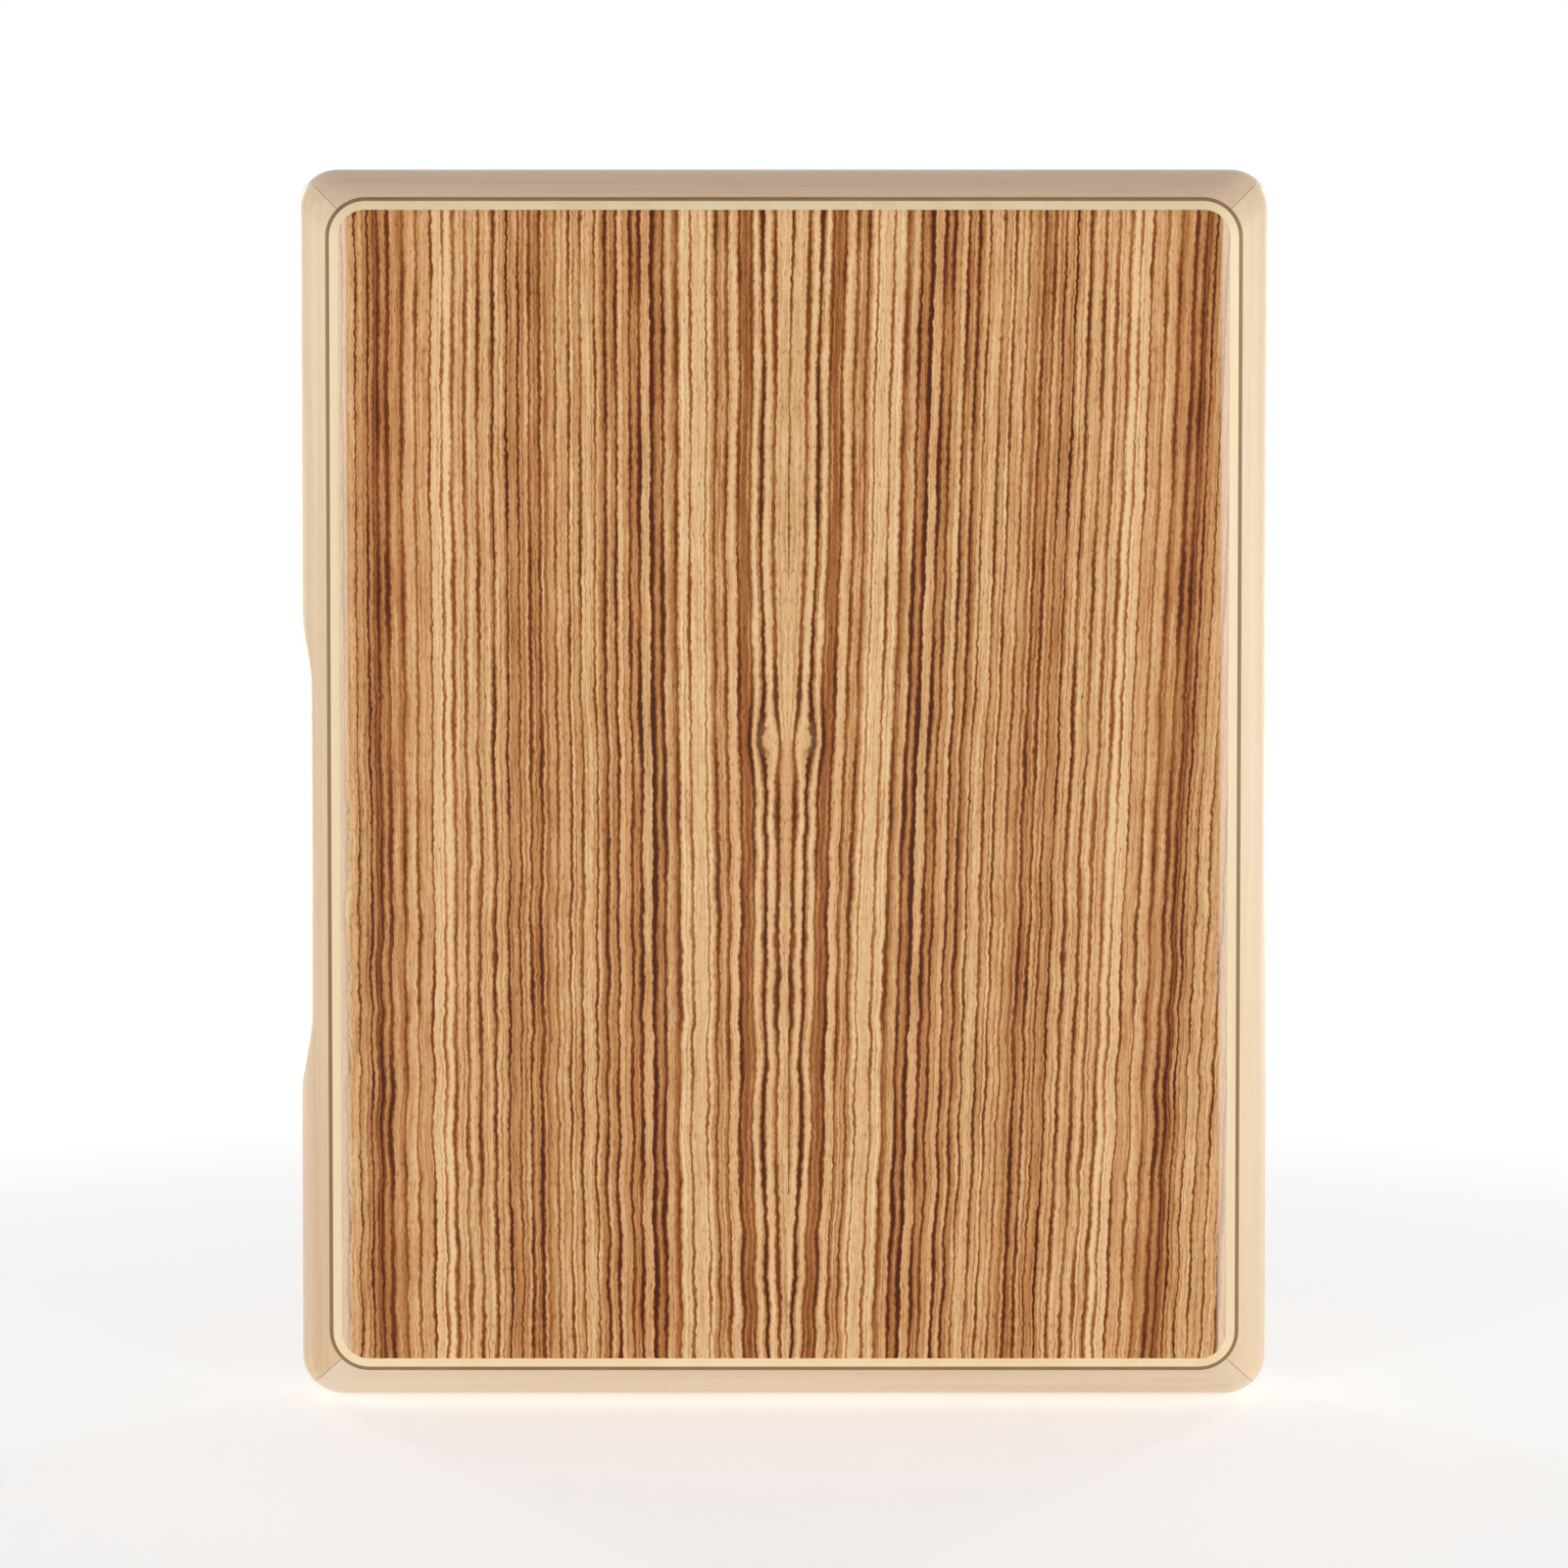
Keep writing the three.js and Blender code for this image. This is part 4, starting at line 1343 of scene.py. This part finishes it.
def is_arm(face, reach, top):
    """True for a face on top that is in the middle of a cross or within 15 degrees of an arm."""
    middle = face.calc_center_median()
    radius = math.hypot(middle.x, middle.y)
    turn = math.degrees(math.atan2(middle.y, middle.x)) % 90
    beside = radius < 0.35 * reach or turn < 15 or turn > 75
    return middle.z > top - 0.01 * MM and radius < reach and beside


print("a thread has", thread_steps, "steps a turn")

# %% [markdown]
# ## Two tension screws and four wood screws
#
# A screw is made at the origin, where a spin is simplest, and then moved to its seat. The wood
# screws are driven up into the blocks, so they are turned over first. Lengths and head sizes come
# from the solids, and the threads are those of an M4 screw and a 3 mm wood screw.

# %% Two tension screws and four wood screws
def hang_screw(bm, node, seat, material, body, upside_down=False):
    """Moves a finished screw from the origin to its seat and lets it stand for its solid."""
    bmesh.ops.recalc_face_normals(bm, faces=bm.faces[:])
    if upside_down:
        turn = Matrix.Rotation(math.pi, 3, "X")
        bmesh.ops.rotate(bm, verts=bm.verts[:], cent=(0, 0, 0), matrix=turn)
    bmesh.ops.translate(bm, verts=bm.verts[:], vec=seat)
    return fit(finish_mesh(bm, f"{node}_threaded", material, crease=35), [node], body)


def tension_screw(name):
    low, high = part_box(f"{name}_tension_screw")
    bar_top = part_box(f"{name}_tension_bar")[1].z
    head_radius = (high.x - low.x) / 2
    height = high.z - bar_top
    bm = bmesh.new()
    threaded_shank(
        bm, bar_top - low.z, root=1.55 * MM, crest=2.0 * MM, pitch=0.7 * MM,
        tip_radius=1.5 * MM, tip_slope=1.0,
    )
    socket = 1.5 * MM
    rows = [
        (0, 0), (head_radius - 0.15 * MM, 0), (head_radius, 0.15 * MM), (head_radius, 0.45 * MM),
        (head_radius, height - 0.6 * MM), (head_radius, height - 0.4 * MM),
        (head_radius - 0.4 * MM, height), (2.0 * MM, height), (1.62 * MM, height - 0.02 * MM),
        (socket, height - 0.15 * MM), (socket, height - 2.0 * MM), (0, height - 2.3 * MM),
    ]
    verts = spun_head(bm, rows, steps=72)
    knurl_and_socket(verts, head_radius, height, 2 * socket)
    seat = ((low.x + high.x) / 2, (low.y + high.y) / 2, bar_top)
    return hang_screw(bm, f"{name}_tension_screw", seat, steel, f"{name}_screw")


def wood_screw(name, number):
    node = f"{name}_anchor_screw_{number}"
    low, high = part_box(node)
    seat_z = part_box(f"{name}_anchor_plate")[0].z
    head_radius = (high.x - low.x) / 2
    height = seat_z - low.z
    bm = bmesh.new()
    threaded_shank(
        bm, high.z - seat_z, root=1.0 * MM, crest=1.5 * MM, pitch=1.2 * MM,
        tip_radius=0.05 * MM, tip_slope=0.6,
    )
    rows = [
        (0, 0), (head_radius - 0.1 * MM, 0), (head_radius, 0.1 * MM), (head_radius, height * 0.45),
        (head_radius * 0.93, height * 0.68), (head_radius * 0.8, height * 0.87),
        (head_radius * 0.62, height), (head_radius * 0.5, height), (head_radius * 0.16, height),
        (0, height),
    ]
    verts = spun_head(bm, rows, steps=24)
    cross_recess(bm, verts, head_radius * 0.5, height * 0.55)
    seat = ((low.x + high.x) / 2, (low.y + high.y) / 2, seat_z)
    return hang_screw(bm, node, seat, steel, "root", upside_down=True)


for name in sets:
    print(tension_screw(name).name, wood_screw(name, 1).name, wood_screw(name, 2).name)

# %% [markdown]
# ## Bend the snare strings
#
# Each string hooks over the anchor plate, bends down, runs behind the playing face and hooks under
# the tension bar. A circle is moved, spun through the bend and moved again, like wire drawn
# through a bender. The solid wire is a hexagon, so its width is measured across the flats.

# %% The snare strings
wire_sides = 12
wire_bend_steps = 6
wire_run_steps = 30
wire_hook_steps = 3
bend_radii = 2


def draw_wire(bm, loop, move, count):
    """Extrudes the wire's end in equal steps."""
    for _ in range(count):
        loop, verts = extrude_row(bm, loop)
        bmesh.ops.translate(bm, verts=verts, vec=Vector(move) / count)
    return loop


def bend_wire(bm, loop, pivot, angle):
    """Spins the wire's end about a pivot on the X axis's direction."""
    made = bmesh.ops.spin(
        bm, geom=loop, cent=pivot, axis=(1, 0, 0), angle=angle, steps=wire_bend_steps
    )["geom_last"]
    return [item for item in made if isinstance(item, bmesh.types.BMEdge)]


def snare_string(name, number, material):
    node = f"{name}_snare_string_{number}"
    low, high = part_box(node)
    across_flats = high.x - low.x
    radius = across_flats / 2 / math.cos(math.radians(30))
    bend = bend_radii * radius
    x = (low.x + high.x) / 2
    front = low.y + radius
    upper = high.z - radius
    lower = low.z + radius
    bm = bmesh.new()
    bmesh.ops.create_circle(bm, segments=wire_sides, radius=radius)
    bmesh.ops.rotate(bm, verts=bm.verts[:], cent=(0, 0, 0), matrix=Matrix.Rotation(math.pi / 2, 3, "X"))
    bmesh.ops.translate(bm, verts=bm.verts[:], vec=(x, high.y, upper))
    first = bm.edges[:]
    loop = draw_wire(bm, first, (0, front + bend - high.y, 0), wire_hook_steps)
    loop = bend_wire(bm, loop, (x, front + bend, upper - bend), math.pi / 2)
    loop = draw_wire(bm, loop, (0, 0, lower - upper + 2 * bend), wire_run_steps)
    loop = bend_wire(bm, loop, (x, front + bend, lower + bend), math.pi / 2)
    loop = draw_wire(bm, loop, (0, high.y - front - bend, 0), wire_hook_steps)
    for end_loop in (first, loop):
        bmesh.ops.edgeloop_fill(bm, edges=end_loop)
    piece = finish_mesh(bm, f"{node}_wire", material, crease=50)
    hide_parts(node)
    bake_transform(piece)
    return piece


for name in sets:
    for number in (1, 2, 3):
        wire = snare_string(name, number, string_steel)
    print(wire.name, [round(side / MM, 2) for side in wire.dimensions])

# %% [markdown]
# ## Studio
#
# The photograph is a product shot on pure white. A wide floor carries the drum's soft shadow.
# Floor and world are white to the camera and in reflections, and light the drum only gently.
# The world is darker overhead, so the top rail is the darkest one, as in the photograph.

# %% Floor and world
def seen_rays(wiring):
    """One for the rays that show the white background: camera, mirror and glass rays."""
    rays = wiring.node("ShaderNodeLightPath").outputs
    seen = wiring.maths("MAXIMUM", rays["Is Camera Ray"], rays["Is Glossy Ray"])
    return wiring.maths("MAXIMUM", seen, rays["Is Transmission Ray"])


def make_floor():
    bm = bmesh.new()
    bmesh.ops.create_circle(bm, cap_ends=True, segments=96, radius=9.0)
    bmesh.ops.translate(bm, verts=bm.verts[:], vec=(0, 0, cad_low.z - 0.05 * MM))
    material, wiring, shader, place = new_material("white floor")
    shader.inputs["Base Color"].default_value = grey(0.9)
    shader.inputs["Roughness"].default_value = 0.9
    seen = seen_rays(wiring)
    outwards = wiring.node("ShaderNodeVectorMath", {0: place}, operation="LENGTH").outputs["Value"]
    glow = wiring.fade(outwards, 0.3, 1.6, 0.42, 1.1)
    strength = wiring.add(wiring.times(seen, glow), wiring.times(wiring.less(1, seen), 0.3))
    wiring.feed(shader.inputs["Emission Strength"], strength)
    shader.inputs["Emission Color"].default_value = grey(1.0)
    floor = finish_mesh(bm, "floor", material)


def make_world(around, above):
    """White to the camera. As light it is brighter round the horizon than overhead."""
    world = bpy.data.worlds.new("studio")
    world.use_nodes = True
    world.node_tree.nodes.clear()
    wiring = Wiring(world.node_tree)
    seen = seen_rays(wiring)
    height = wiring.parts(wiring.node("ShaderNodeTexCoord").outputs["Generated"])["Z"]
    glow = wiring.fade(height, 0.0, 0.8, around, above)
    strength = wiring.add(seen, wiring.times(wiring.less(1, seen), glow))
    background = wiring.node("ShaderNodeBackground", {"Color": grey(1.0), "Strength": strength})
    output = wiring.node("ShaderNodeOutputWorld")
    wiring.feed(output.inputs["Surface"], background.outputs[0])
    bpy.context.scene.world = world


make_floor()
make_world(0.52, 0.25)
print("floor and world are in place")

# %% [markdown]
# ## Lamps and camera
#
# Two tall narrow softboxes stand in front, two behind and a wide one on each side. The one on
# the right side is the strongest, which makes the right rail the brightest. The camera stands
# straight in front with a long lens, a little above the middle of the drum.

# %% Lamps and camera
def softbox(name, place, size, power):
    lamp = bpy.data.lights.new(name, "AREA")
    lamp.shape = "RECTANGLE"
    lamp.size, lamp.size_y = size
    lamp.energy = power
    made = bpy.data.objects.new(name, lamp)
    made.location = place
    made.rotation_euler = (-Vector(place)).to_track_quat("-Z", "Y").to_euler()
    made.visible_camera = False
    bpy.context.scene.collection.objects.link(made)


softbox("front right softbox", (1.2, -2.0, 0.15), (0.2, 1.6), 12.5)
softbox("front left softbox", (-1.2, -2.0, 0.15), (0.2, 1.6), 11.5)
softbox("back right softbox", (-1.2, 2.0, 0.15), (0.2, 1.6), 13)
softbox("back left softbox", (1.2, 2.0, 0.15), (0.2, 1.6), 13)
softbox("right side softbox", (2.3, 0.0, 0.1), (2.0, 1.2), 19)
softbox("left side softbox", (-2.3, 0.0, 0.1), (2.0, 1.2), 13)

camera_distance = 1.05
camera_rise = math.radians(2.2)
camera_data = bpy.data.cameras.new("camera")
camera_data.lens = 95
camera = bpy.data.objects.new("camera", camera_data)
bpy.context.scene.collection.objects.link(camera)
camera.location = (
    0, middle_y - camera_distance * math.cos(camera_rise), camera_distance * math.sin(camera_rise)
)
aim = Vector((0, middle_y, 0)) - camera.location
camera.rotation_euler = aim.to_track_quat("-Z", "Y").to_euler()
bpy.context.scene.camera = camera
bpy.context.scene.view_settings.view_transform = "Standard"
print("camera at", tuple(round(part, 3) for part in camera.location))
